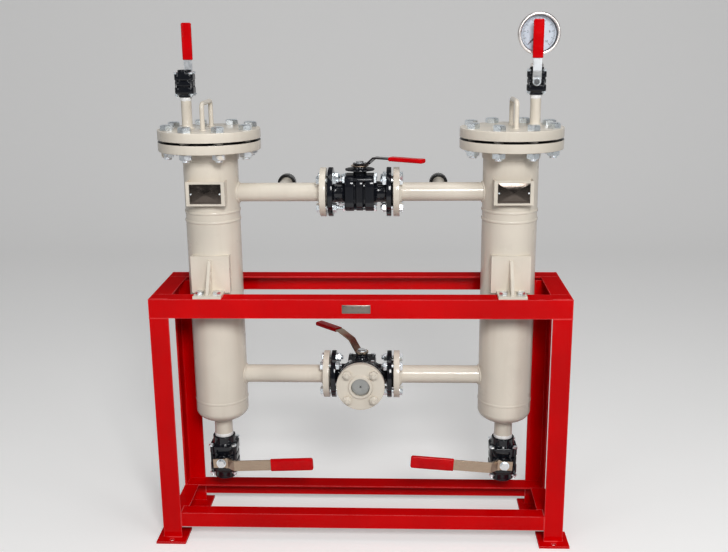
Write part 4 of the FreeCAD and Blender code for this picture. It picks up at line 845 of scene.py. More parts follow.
CREAM = linear(229, 220, 205)
CREAM_GRIME, CREAM_CHIP = (0.42, 0.33, 0.23), (0.3, 0.2, 0.12)
ALONG_LEVER = (0.12, 2.0, 2.0)
FINISHES: dict[str, Finish] = {
    # The red frame paint has a painted highlight: its edges turn pale pink
    "frame_enamel": Enamel(
        "frame_paint", linear(214, 0, 4), 0.26, grime=(0.1, 0.01, 0.01), chip=(0.2, 0.02, 0.015), coat=0.16,
        gloss=0.0, dust=0.04, edge=(0.95, 0.16, 0.17),
    ),
    # Weld beads take a lighter, pinker copy of the frame red: a painted highlight along the beads
    "weld_highlight_enamel": Enamel(
        "frame_paint", linear(228, 52, 54), 0.34, grime=(0.3, 0.12, 0.09), chip=(0.3, 0.1, 0.08), coat=0.2,
        gloss=0.2,
    ),
    # The cream paint is painted nearly black in the gap under the covers, as shade
    "vessel_enamel": Enamel(
        "vessel_paint", CREAM, 0.3, grime=CREAM_GRIME, chip=CREAM_CHIP, coat=0.42, gloss=0.2, gap=JOINT_GAP_SHADE
    ),
    "shank_enamel": Enamel("vessel_paint", CREAM, 0.3, grime=CREAM_GRIME, chip=CREAM_CHIP),
    "valve_enamel": Enamel(
        "valve_paint", linear(20, 22, 28), 0.2, grime=(0.05, 0.045, 0.04), chip=(0.12, 0.11, 0.11),
        coat=0.8, gloss=0.0, casting=0.00003,
    ),
    "zinc_plate": Metal("zinc_bolts", linear(240, 247, 255), 0.28, stain=(0.5, 0.46, 0.38), stained=0.1),
    "zinc_overspray": Metal(
        "zinc_bolts", linear(238, 242, 246), 0.32, stain=(0.5, 0.44, 0.34), stained=0.1, overspray=CREAM
    ),
    "lever_stainless": Metal(
        "lever_steel", linear(170, 151, 132), 0.3, stain=(0.34, 0.26, 0.2), stained=0.18, grain=ALONG_LEVER,
        contrast=0.08,
    ),
    "lever_bright": Metal(
        "lever_steel", linear(204, 207, 210), 0.4, stain=(0.5, 0.46, 0.4), stained=0.12,
        grain=(2.0, 2.0, 0.12), contrast=0.06,
    ),
    "lever_dark": Metal(
        "lever_steel", linear(74, 70, 71), 0.24, stain=(0.1, 0.07, 0.05), grain=ALONG_LEVER, contrast=0.15
    ),
    "grip_vinyl": Moulding(
        "grip_plastic", linear(214, 2, 10), 0.3, skin=0.00004, scuff=0.05, coat=0.2, gloss=0.02
    ),
    "gasket_fibre": Moulding("gasket", linear(38, 35, 33), 0.75, skin=0.00015, scuff=0.4),
    "seal_rubber": Moulding("seal", linear(24, 24, 25), 0.55),
    "seat_resin": Moulding("seat_plastic", linear(236, 234, 226), 0.4),
    "ball_bright": Metal("ball_steel", linear(216, 218, 220), 0.16, stain=(0.5, 0.46, 0.4), stained=0.15),
    # The mirror plates' dark brown base colour is a painted reflection of dark surroundings, far darker
    # than bare polished steel
    "plate_mirror_dark_reflection": Metal(
        "mirror_plate", linear(92, 84, 78), 0.17, stain=(0.12, 0.1, 0.09), stained=0.2,
        grain=(0.2, 1.0, 1.6),
    ),
    "label_brushed": Metal(
        "mirror_plate", linear(132, 124, 116), 0.3, stain=(0.3, 0.27, 0.24), stained=0.25,
        grain=(0.15, 1.0, 2.0),
    ),
    "blank_steel": Metal("zinc_bolts", linear(166, 167, 165), 0.55, stain=(0.3, 0.3, 0.29), stained=0.2),
    "element_screen": Screen("element_steel", linear(190, 192, 194), 0.35),
    "cap_moulded": Moulding("cap_plastic", linear(16, 16, 18), 0.35, coat=0.2),
    "gauge_polish": Metal("gauge_steel", linear(236, 230, 226), 0.3, stain=(0.5, 0.46, 0.42), stained=0.15),
    "dial_card": Print("dial_face", linear(216, 228, 244), 0.5),
    "dial_ink": Moulding("pointer_black", linear(10, 10, 14), 0.45),
    "window_glass": Pane("gauge_glass", (0.9, 0.95, 1.0), 0.04),
    "thread_tape": Tape("seal", linear(250, 249, 247), 0.45),
    "studio_ground": Ground("", (0.84, 0.835, 0.825), 0.75),
}


def finished(name: str) -> bpy.types.Material:
    """Material of a named finish."""
    return FINISHES[name].material(name)


# Pieces


def linked(name: str, data: bpy.types.ID) -> bpy.types.Object:
    """New object that holds some data, linked to the scene."""
    made = bpy.data.objects.new(name, data)
    bpy.context.scene.collection.objects.link(made)
    return made


def smoothed(mesh: bpy.types.Mesh, sharp: float) -> None:
    """Shade a mesh smooth, but keep edges past an angle in degrees sharp."""
    mesh.polygons.foreach_set("use_smooth", np.ones(len(mesh.polygons), bool))
    mesh.set_sharp_from_angle(angle=math.radians(sharp))


def vertices_of(mesh: bpy.types.Mesh) -> np.ndarray:
    """Vertex positions of a mesh, a row for each."""
    flat = np.zeros(len(mesh.vertices) * 3)
    mesh.vertices.foreach_get("co", flat)
    return flat.reshape(-1, 3)


def piece(
    name: str,
    surface: Surface,
    finish: str,
    body: str = "skid",
    stands_for: tuple[str, ...] = (),
    sharp: float = 38.0,
) -> bpy.types.Object:
    """Mesh object of a surface, dressed and riding on a body.

    Args:
        name: Name of the piece.
        surface: Its surface in millimetres.
        finish: Name of its finish.
        body: CAD body that it moves with.
        stands_for: CAD nodes that it replaces.
        sharp: Angle in degrees past which an edge stays sharp.

    Returns:
        The new object.
    """
    mesh = bpy.data.meshes.new(name)
    faces = surface.quads.tolist() + surface.triangles.tolist()
    mesh.from_pydata((surface.points * MM).tolist(), [], faces)
    smoothed(mesh, sharp)
    mesh.materials.append(finished(finish))
    made = linked(name, mesh)
    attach(made, body)
    if stands_for:
        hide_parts(*stands_for)
    log.info("%s: %d faces in %s", name, len(mesh.polygons), finish)
    return made


def dressed(node: str, finish: str) -> bpy.types.Object:
    """CAD node kept as it is, with a finish in each of its material slots.

    Args:
        node: Name of the node.
        finish: Name of the finish.

    Returns:
        The node's object.
    """
    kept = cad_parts[node]
    if not kept.material_slots:
        kept.data.materials.append(finished(finish))
    for slot in kept.material_slots:
        slot.material = finished(finish)
    log.info("%s: CAD shape in %s", node, finish)
    return kept


def softened(name: str, node: str, finish: str, edge: float, body: str = "skid") -> bpy.types.Object:
    """Copy of a CAD node with its loose triangles merged and its edges rounded over.

    Args:
        name: Name of the new piece.
        node: Node that it stands for.
        finish: Name of the finish.
        edge: Width of the rounded edges in millimetres.
        body: CAD body that it moves with.

    Returns:
        The new object.
    """
    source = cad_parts[node].data
    points = vertices_of(source)
    corners = np.zeros(len(source.loops), np.int64)
    source.loops.foreach_get("vertex_index", corners)
    microns = np.round(points * 1e6).astype(np.int64)
    first, inverse = np.unique(microns, axis=0, return_index=True, return_inverse=True)[1:]
    faces = inverse.ravel()[corners.reshape(-1, 3)]
    whole = (faces[:, 0] != faces[:, 1]) & (faces[:, 1] != faces[:, 2]) & (faces[:, 0] != faces[:, 2])
    mesh = bpy.data.meshes.new(name)
    mesh.from_pydata(points[first].tolist(), [], faces[whole].tolist())
    work = bmesh.new()
    work.from_mesh(mesh)
    bmesh.ops.dissolve_limit(work, angle_limit=math.radians(0.5), verts=work.verts, edges=work.edges)
    work.to_mesh(mesh)
    work.free()
    smoothed(mesh, 30.0)
    mesh.materials.append(finished(finish))
    made = linked(name, mesh)
    bevel = made.modifiers.new("rounded_edges", "BEVEL")
    bevel.width = edge * MM
    bevel.segments = 2
    bevel.limit_method = "ANGLE"
    bevel.angle_limit = math.radians(30)
    bevel.harden_normals = True
    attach(made, body)
    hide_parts(node)
    log.info("%s: softened copy of %s in %s", name, node, finish)
    return made


# Fasteners


@dataclass(frozen=True)
class Hex:
    """Hexagon head or nut with both or one of its faces chamfered."""

    flats: float
    height: float
    nut: bool = False

    def surface(self) -> Surface:
        """Surface along +Z from its seat at the origin.

        Formula: twelve columns stand on the corners and the middles of the flats; the upper ring
        drops at each column by the reach past the chamfer circle times the tangent of 30 degrees.

        Returns:
            The closed surface.
        """
        half = self.flats / 2
        angle = np.arange(24) / 24 * TAU
        hexagon = reach(Outline.HEX, np.array(half), angle, 0.0)
        drop = (hexagon - half) * math.tan(math.radians(30)) + self.height * 0.1
        crown = half * 0.86
        low = drop if self.nut else drop * 0 + 0.3
        rows = [
            (angle * 0 + crown, angle * 0),
            (hexagon, low),
            (hexagon, self.height - drop),
            (angle * 0 + crown, angle * 0 + self.height),
        ]
        if not self.nut:
            rows.append((angle * 0 + crown * 0.55, angle * 0 + self.height - self.height * 0.02))
        grid = np.stack([np.stack([r * np.cos(angle), r * np.sin(angle), h], axis=1) for r, h in rows])
        return capped(grid).outward()


def shank(radius: float, low: float, high: float, turns: int = 0) -> Surface:
    """Bolt shank along +Z with thread grooves at its lower end.

    Formula: the radius swings by 4 percent as a triangle wave of the height over the threaded part.

    Args:
        radius: Radius of the shank.
        low: Lower end.
        high: Upper end.
        turns: Grooves counted from the lower end.

    Returns:
        The closed surface.
    """
    if not turns:
        return turned([(0, low), (radius, low), (radius, high), (0, high)], 12)
    pitch = radius * 0.26
    k = np.arange(turns * 2 + 1)
    ridge = np.stack([radius * np.where(k % 2 == 0, 0.93, 1.0), low + k * pitch / 2 + 0.6], axis=1)
    ends = ([(0, low), (radius * 0.84, low)], [(radius, high), (0, high)])
    return turned(np.vstack([ends[0], ridge, ends[1]]), 12)


def washer(inner: float, outer: float, thick: float) -> Surface:
    """Flat washer from the origin along +Z.

    Args:
        inner: Bore radius.
        outer: Outer radius.
        thick: Thickness.

    Returns:
        The closed surface.
    """
    edge = min(0.3, thick / 3)
    rim = [(outer - edge, 0), (outer, edge), (outer, thick - edge), (outer - edge, thick)]
    return turned(np.array([(inner, 0), *rim, (inner, thick)]), 28)


# Stand


@dataclass
class Stand:
    """Red angle-iron stand: legs, top and bottom rings, feet and weld beads."""

    half_length: float = 535.0
    half_depth: float = 140.0
    leg_flange: float = 50.0
    leg_thick: float = 5.0
    ring_half: float = 510.0
    ring_top: float = 78.0
    ring_flange: float = 40.0
    foot_level: float = 6.4
    leg_bead: float = 1.7
    top_bead: float = 1.3
    ring_bead: float = 1.5
    end_bead: float = 1.8
    foot_bead: float = 2.0

    def build(self) -> None:
        """Softened steel sections and the welds that join them."""
        for name, node, edge in (
            ("stand_legs", "legs", 0.9),
            ("top_long_angles", "top_long_rails", 0.9),
            ("top_side_angles", "top_side_rails", 0.9),
            ("bottom_long_angles", "bottom_long_rails", 0.8),
            ("bottom_side_angles", "bottom_side_rails", 0.8),
            ("foot_plates", "base_plates", 0.8),
        ):
            softened(name, node, "frame_enamel", edge)
        # The weld beads carry the painted highlight of a lighter red
        piece("stand_welds", joined(self.beads()), "weld_highlight_enamel")

    def beads(self) -> list[Surface]:
        """Seams at the leg tops, the ring corners, the bottom ring and the feet.

        Returns:
            One surface for each seam.
        """
        low, top = FRAME_TOP - self.leg_flange, FRAME_TOP - 0.4
        wall, y, foot_z = self.leg_thick, self.half_depth, self.foot_level
        made = []
        for s in (-1, 1):
            x = self.half_length * s
            inner = x - self.leg_flange * s
            corner, side = x - (wall + 0.6) * s, x - 0.6 * s
            made += [
                seam((x - 1.0 * s, -y + 0.6, low), (inner, -y + 0.6, low), self.leg_bead),
                seam((side, -y + 1, low), (side, -y + self.leg_flange, low), self.leg_bead),
                seam((corner, -y + wall, top), (inner, -y + wall, top), self.top_bead),
                seam((corner, y - wall, top), (inner, y - wall, top), self.top_bead),
            ]
            ring = self.ring_half * s
            end = (self.ring_half - 25) * s
            for level in (self.ring_top - 0.4, self.ring_top - self.ring_flange + 0.5):
                made.append(seam((end, -y + 4.5, level), (end, -y + 40, level), self.ring_bead))
            ring_low = self.ring_top - self.ring_flange + 1
            made.append(seam((end, -y - 0.2, self.ring_top), (end, -y - 0.2, ring_low), self.end_bead))
            foot, edge = ring + 14 * s, ring + 25.2 * s
            made += [
                seam((foot - 2 * s, -y - 0.2, foot_z), (foot - 38 * s, -y - 0.2, foot_z), self.foot_bead),
                seam((edge, -y + 2, foot_z), (edge, -y + 48, foot_z), self.foot_bead),
            ]
        return made


# Vessels


@dataclass
class Vessel:
    """Painted pipe vessel with a dished end, drain nozzle, body flange and cover."""

    name: str
    side: int
    vent_offset: float
    wall: float = 6.55
    seam_z: float = 359.5
    skirt: float = 30.0
    dish: float = 35.3
    nozzle_r: float = 24.15
    nozzle_end: float = 232.0
    top: float = 1055.0
    flange_r: float = 131.0
    flange_low: float = 1037.1
    face: float = 1061.0
    hub_length: float = 26.0
    raised_r: float = 93.0
    stub_r: float = 13.35
    stub_top: float = 1177.9
    bolt_circle: float = 107.95
    bolts: int = 8
    bolt_flats: float = 30.0
    bolt_head: float = 14.0
    bolt_r: float = 10.0
    bolt_end: float = 1016.1
    nut_height: float = 16.0
    paint_r: float = 12.5
    paint_span: Pair = (1060.4, 1066.0)
    low_bead: float = 856.0
    high_bead: float = 879.7
    lugs: Pair = (96.5, 100.0)
    handle_x: float = 4.5
    handle_half: float = 56.0
    handle_top: float = 1155.9
    handle_r: float = 6.0
    vent_tape: Pair = (1159.5, 1170.6)
    drain_tape: Pair = (245.0, 255.5)

    @property
    def place(self) -> Place:
        """Axis of the vessel on the floor."""
        return Place((VESSEL_X * self.side, 0.0, 0.0))

    def build(self) -> None:
        """Shell, welds, flange, cover, handle and bolts of this vessel."""
        for label, surface, nodes in (
            ("vessel", self.shell(), (f"{self.name}_shell",)),
            ("vessel_welds", joined(self.welds()), ()),
            ("body_flange", self.body_flange(), ("body_flanges",)),
            ("cover", self.cover(), ("covers",)),
            ("cover_handle", self.handle(), ("cover_handles",)),
        ):
            piece(f"{self.name}_{label}", surface.at(self.place), "vessel_enamel", stands_for=nodes)
        heads, sleeves, lower = self.fasteners()
        piece(f"{self.name}_cover_bolts", joined(heads), "zinc_plate", stands_for=("cover_bolts",))
        piece(f"{self.name}_painted_shanks", joined(sleeves), "shank_enamel")
        finish = "zinc_overspray" if self.side < 0 else "zinc_plate"
        piece(f"{self.name}_cover_nuts", joined(lower), finish, stands_for=("cover_nuts",))
        piece(f"{self.name}_thread_tape", joined(self.tape()).at(self.place), "thread_tape")

    def shell(self) -> Surface:
        """Shell with its wall: a nozzle, a half-ellipse end, a barrel and the same lines inside.

        Returns:
            The closed surface about the vessel's axis.
        """
        low = self.seam_z - self.skirt
        inner, bore = VESSEL_R - self.wall, self.nozzle_r - 5.15
        t = np.linspace(math.asin(self.nozzle_r / VESSEL_R), TAU / 4, 24)
        dish = np.stack([VESSEL_R * np.sin(t), low - self.dish * np.cos(t)], axis=1)
        t = np.linspace(math.asin(bore / inner), TAU / 4, 16)
        depth = self.dish - self.wall
        bowl = np.stack([inner * np.sin(t), low - depth * np.cos(t)], axis=1)
        levels = np.array([self.seam_z, 500.0, 700.0, self.low_bead, 960.0, self.top])
        barrel = np.stack([levels * 0 + VESSEL_R, levels], axis=1)
        mouth = [(self.nozzle_r - 0.8, self.nozzle_end), (self.nozzle_r, self.nozzle_end + 0.8)]
        outer = np.vstack([mouth, dish, barrel])
        inside = np.vstack([[(bore, self.nozzle_end)], bowl, [(inner, self.top)]])
        return turned(bored(outer, inside), 112)

    def welds(self) -> list[Surface]:
        """Rings of weld at the seams and the nozzle, saddles round the pipes and lines along the lugs.

        Returns:
            Weld beads about the vessel's axis.
        """
        made = []
        for level, size in ((self.seam_z, 1.2), (self.low_bead, 2.1), (self.high_bead, 2.1)):
            a = np.linspace(0, TAU, 240, endpoint=False)
            rows = circle(1.0, 10) * np.array([size, 4.0])
            swell = 0.92 + 0.12 * np.abs(np.sin(a * 60))
            ring = hoop(VESSEL_R - 0.2, level, 240)
            made.append(carried(rows[None] * swell[:, None, None], ring, (0, 0, 1), True))
        a = np.linspace(0, TAU, 120, endpoint=False)
        low = self.seam_z - self.skirt
        drop = low - self.dish * math.sqrt(1 - (self.nozzle_r / VESSEL_R) ** 2)
        made.append(weld(hoop(self.nozzle_r + 1, drop - 1, 120), 3.2, (0, 0, 1), True))
        for level in (UPPER_Z, LOWER_Z):
            y, z = np.cos(a) * (PIPE_R + 1), np.sin(a) * (PIPE_R + 1)
            x = np.sqrt((VESSEL_R + 0.5) ** 2 - y**2) * -self.side
            made.append(weld(np.stack([x, y, z + level], axis=1), 2.9, (1, 0, 0), True))
        for row in (-1, 1):
            half = self.lugs[1] / 2
            y = math.sqrt(VESSEL_R**2 - half**2)
            for s in (-1, 1):
                foot, head = FRAME_TOP + 2, FRAME_TOP + self.lugs[0] - 2
                made.append(seam((half * s, y * row, foot), (half * s, y * row, head), 2.0))
        return made

    def body_flange(self) -> Surface:
        """Slip-on flange with its hub, eased edges and raised face."""
        bore, hub = VESSEL_R - 0.5, VESSEL_R + 4.0
        low = self.flange_low
        line = [
            (bore, low - self.hub_length + 1), (hub - 1.5, low - self.hub_length), (hub, low - 8),
            (hub + 4, low), (self.flange_r, low), (self.flange_r, self.face),
            (self.raised_r + 0.6, self.face), (self.raised_r, JOINT_Z), (bore, JOINT_Z),
        ]
        return turned(eased(line, 1.6, 3), 144)

    def cover(self) -> Surface:
        """Blind cover with the vent stub and its flared weld.

        Returns:
            Disc and stub about the vessel's axis.
        """
        under, rim = JOINT_Z + 2.0, JOINT_Z + 3.2
        line = [
            (0, under), (self.raised_r, under), (self.raised_r + 0.6, rim), (self.flange_r, rim),
            (self.flange_r, LID_TOP), (0, LID_TOP),
        ]
        disc = turned(eased(line, 1.6, 3), 144)
        r = self.stub_r
        stub = [
            (0, LID_TOP - 2), (r + 5.5, LID_TOP - 2), (r + 5.2, LID_TOP + 0.8), (r + 2.4, LID_TOP + 3.0),
            (r + 0.7, LID_TOP + 6.0), (r, LID_TOP + 10.0), (r, self.stub_top - 1), (r - 1, self.stub_top),
            (0, self.stub_top),
        ]
        x = self.vent_offset * self.side
        return joined([disc, turned(eased(stub, 1.4, 2), 48).at(Place((x, 0, 0)))])

    def handle(self) -> Surface:
        """Bent round bar with a weld fillet at each foot.

        Returns:
            The handle about the vessel's axis.
        """
        x, half, top, foot = self.handle_x * self.side, self.handle_half, self.handle_top, LID_TOP - 1
        path = eased([(x, -half, foot), (x, -half, top), (x, half, top), (x, half, foot)], 14.0, 10)
        bar = carried(circle(self.handle_r, 24), path, (1, 0, 0))
        rings = [hoop(self.handle_r + 0.6, LID_TOP + 0.6, 60, x, y) for y in (-half, half)]
        return joined([bar, *(weld(ring, 2.1, (0, 0, 1), True) for ring in rings)])

    def fasteners(self) -> tuple[list[Surface], list[Surface], list[Surface]]:
        """Cover bolts, the painted part of their shanks and their nuts.

        Returns:
            Heads with shanks, painted sleeves, and nuts.
        """
        head = Hex(self.bolt_flats, self.bolt_head).surface()
        nut = Hex(self.bolt_flats, self.nut_height, nut=True).surface()
        rod = shank(self.bolt_r, self.bolt_end, LID_TOP + 1, 9)
        (low, high), r = self.paint_span, self.paint_r
        sleeve = turned([(0, low), (r, low), (r, high), (0, high)], 18)
        heads, sleeves, nuts = [], [], []
        for number in range(self.bolts):
            turn = 22.5 + 45.0 * number
            a = math.radians(turn)
            x, y = self.bolt_circle * math.cos(a), self.bolt_circle * math.sin(a)
            spot = self.place.moved(x, y, 0, turn + 11 * number)
            heads += [head.at(spot.moved(0, 0, LID_TOP)), rod.at(spot)]
            sleeves.append(sleeve.at(spot))
            nuts.append(nut.at(spot.moved(0, 0, self.flange_low - self.nut_height)))
        return heads, sleeves, nuts

    def tape(self) -> list[Surface]:
        """Ragged bands of thread tape at the vent stub's top and the drain nozzle's end.

        Formula: radius and edge height wander with a few sines of the angle.

        Returns:
            The two bands about the vessel's axis.
        """
        a = np.arange(96) / 96 * TAU
        made = []
        for x, base, r, (low, high) in (
            (self.vent_offset * self.side, self.stub_r, 1.1, self.vent_tape),
            (0.0, self.nozzle_r, 1.4, self.drain_tape),
        ):
            wander = 0.25 * np.sin(7 * a + base) + 0.18 * np.sin(17 * a) + 0.14 * np.sin(31 * a + 1)
            edge = 0.7 * np.sin(5 * a + base) + 0.4 * np.sin(13 * a)
            t = np.linspace(0, 1, 8)[:, None]
            outer = base + (r + wander) * np.sin(t * TAU / 2) ** 0.35
            outer[-1] = base - 0.3
            outer[0] = base - 0.3
            height = low + edge * (1 - t) + (high - low) * t
            outer = outer + 0.16 * np.sin(t * 24 + 2 * a)
            grid = np.stack([outer * np.cos(a) + x, outer * np.sin(a), height + 0 * a], axis=2)
            made.append(capped(grid).outward())
        return made


# Piping


@dataclass
class Pipework:
    """Pipe spools between the vessels, their flanges, outlets and bolts."""

    start: float = 90.5
    end: float = 318.0
    wall: float = 3.7
    flange_r: float = 63.5
    face: float = 84.5
    thick: float = 17.5
    hub_r: float = 32.0
    hub_length: float = 4.7
    face_r: float = 36.5
    bolt_circle: float = 49.2
    bolt_flats: float = 21.0
    bolt_r: float = 6.35
    bolt_length: float = 48.0
    head_height: float = 9.0
    nut_height: float = 11.0
    outlet_x: float = 207.0
    outlet_r: float = 16.7
    outlet_wall: float = 3.4
    outlet_root: float = 6.0
    outlet_end: float = 154.0
    cap_r: float = 24.5

    def build(self) -> None:
        """Spools, flanges, caps and bolts."""
        for level, label in ((UPPER_Z, "upper"), (LOWER_Z, "lower")):
            spools = [self.spool(s, level) for s in (-1, 1)]
            if label == "upper":
                spools += [self.outlet(s) for s in (-1, 1)]
            piece(f"{label}_pipe_run", joined(spools), "vessel_enamel", stands_for=(f"{label}_pipes",))
        joints = [(s, z) for z in (UPPER_Z, LOWER_Z) for s in (-1, 1)]
        places = [Place.along((self.face * s, 0, z), "+X" if s > 0 else "-X") for s, z in joints]
        front = Place.along((0, -self.face, LOWER_Z), "-Y")
        flange = self.flange()
        flanges = joined([flange.at(p) for p in [*places, front]])
        piece("slip_on_flanges", flanges, "vessel_enamel", stands_for=("pipe_flanges",))
        bead = weld(hoop(PIPE_R + 1.4, self.thick + self.hub_length + 0.2, 72), 2.0, (0, 0, 1), True)
        piece("flange_neck_welds", joined([bead.at(p) for p in places]), "vessel_enamel")
        side = [self.bolt_set(p, heads_out=True) for p in places]
        piece("joint_bolts", joined(sum(side, [])), "zinc_plate", stands_for=("flange_bolts",))
        studs = joined(self.bolt_set(front, heads_out=False))
        piece("inlet_studs", studs, "vessel_enamel", stands_for=("inlet_bolts",))
        piece("inlet_blank_disc", self.blank(), "blank_steel", stands_for=("inlet_blank",))
        piece("inlet_bore_plug", self.plug(), "blank_steel")
        caps = joined([self.cap(s) for s in (-1, 1)])
        piece("outlet_end_caps", caps, "cap_moulded", stands_for=("outlet_caps",))
        dressed("pipe_gaskets", "gasket_fibre")

    def spool(self, side: int, level: float) -> Surface:
        """Pipe with its wall, from the flange to the vessel."""
        outer = [(PIPE_R, self.start), (PIPE_R, (self.start + self.end) / 2), (PIPE_R, self.end)]
        bore = PIPE_R - self.wall
        loop = bored(np.array(outer), np.array([(bore, self.start), (bore, self.end)]))
        return turned(loop, 72).at(Place.along((0, 0, level), "+X" if side > 0 else "-X"))

    def outlet(self, side: int) -> Surface:
        """Reinforced outlet stub that leaves the upper pipe to the rear.

        Args:
            side: -1 for the left pipe, 1 for the right.

        Returns:
            The stub with its flared root.
        """
        r, root, end = self.outlet_r, self.outlet_root, self.outlet_end
        bore = r - self.outlet_wall
        line = [(r + 5, root), (r + 4.4, 20), (r + 2.2, 27), (r, 36), (r, end), (bore, end), (bore, root)]
        place = Place.along((self.outlet_x * side, 0, UPPER_Z), "+Y")
        return turned(eased([*line, line[0]], 2.5, 3)[:-1], 56).at(place)

    def flange(self) -> Surface:
        """Flange along +Z from its raised face, with a hub and eased edges."""
        back = self.thick + self.hub_length
        bore = PIPE_R + 0.3
        line = [
            (bore, 0), (self.face_r, 0), (self.face_r + 0.5, 1.6), (self.flange_r, 1.6),
            (self.flange_r, self.thick), (self.hub_r + 1, self.thick), (self.hub_r - 1.6, back),
            (bore, back),
        ]
        return turned(eased(line, 1.2, 3), 96)

    def blank(self) -> Surface:
        """Blanking disc between the inlet flanges, with a small centre mark."""
        line = [(0, 0), (self.face_r, 0), (self.face_r, 2.0), (1.9, 2.0), (1.3, 0.9), (0, 0.9)]
        return turned(np.array(line), 72).at(Place.along((0, -82.5, LOWER_Z), "-Y"))

    def plug(self) -> Surface:
        """Loose plug that keeps dirt out of the inlet's bore, with a dimple at its middle."""
        r, deep = PIPE_R - 0.4, self.thick - 2.5
        dimple = deep - 7
        line = [
            (0, 0.3), (r, 0.3), (r, deep - 0.8), (r - 0.8, deep), (2.3, deep), (2.1, dimple), (0, dimple),
        ]
        return turned(eased(line, 0.3, 2), 72).at(Place.along((0, -self.face, LOWER_Z), "-Y"))

    def bolt_set(self, joint: Place, heads_out: bool) -> list[Surface]:
        """Four bolts with nuts through one flanged joint.

        Args:
            joint: Place of the pipe flange's face.
            heads_out: Whether the heads sit on the pipe flange.

        Returns:
            Heads, shanks, washers and nuts.
        """
        head = Hex(self.bolt_flats, self.head_height).surface()
        nut = Hex(self.bolt_flats, self.nut_height, nut=True).surface()
        rod, flat = shank(self.bolt_r, -5.0, self.bolt_length - 5.0, 12), washer(6.9, 11.8, 1.4)
        made = []
        outer, inner = self.thick, -16.0
        for number in range(4):
            a = math.radians(45 + 90 * number)
            x, y = self.bolt_circle * math.cos(a), self.bolt_circle * math.sin(a)
            spot = joint.moved(x, y, 0, 23 * number)
            over = spot.flipped()
            front, rear = spot.moved(0, 0, outer), over.moved(0, 0, -inner)
            if heads_out:
                made += [head.at(front), nut.at(rear), rod.at(spot.moved(0, 0, inner - self.nut_height))]
                made += [flat.at(front), flat.at(rear)]
            else:
                made += [head.at(rear), nut.at(front), rod.at(over.moved(0, 0, -outer - self.nut_height))]
        return made

    def cap(self, side: int) -> Surface:
        """Ribbed screw cap on an outlet.

        Args:
            side: -1 for the left outlet, 1 for the right.

        Returns:
            The cap.
        """
        r, mouth, stub = self.cap_r, (21, 165.2), self.outlet_r
        line = [mouth, (r, 163), (r, 139), (r - 1.1, 138), (stub, 138), (stub, self.outlet_end)]
        loop = eased([*line, (1.0, self.outlet_end), (1.0, 165.6), mouth], 1.4, 2)[:-1]
        place = Place.along((self.outlet_x * side, 0, UPPER_Z), "+Y")
        return turned(loop, 144, ripple=(24, 0.45)).at(place)


# Valves

# Distance from the axis and from the valve's middle, on from the neck of a flanged end
NECK_AND_FLANGE = [
    (27, 62), (29, 66.5), (35, 68.5), (63.5, 68.5), (63.5, 80.9), (37, 80.9), (36.5, 82.5), (0, 82.5),
]


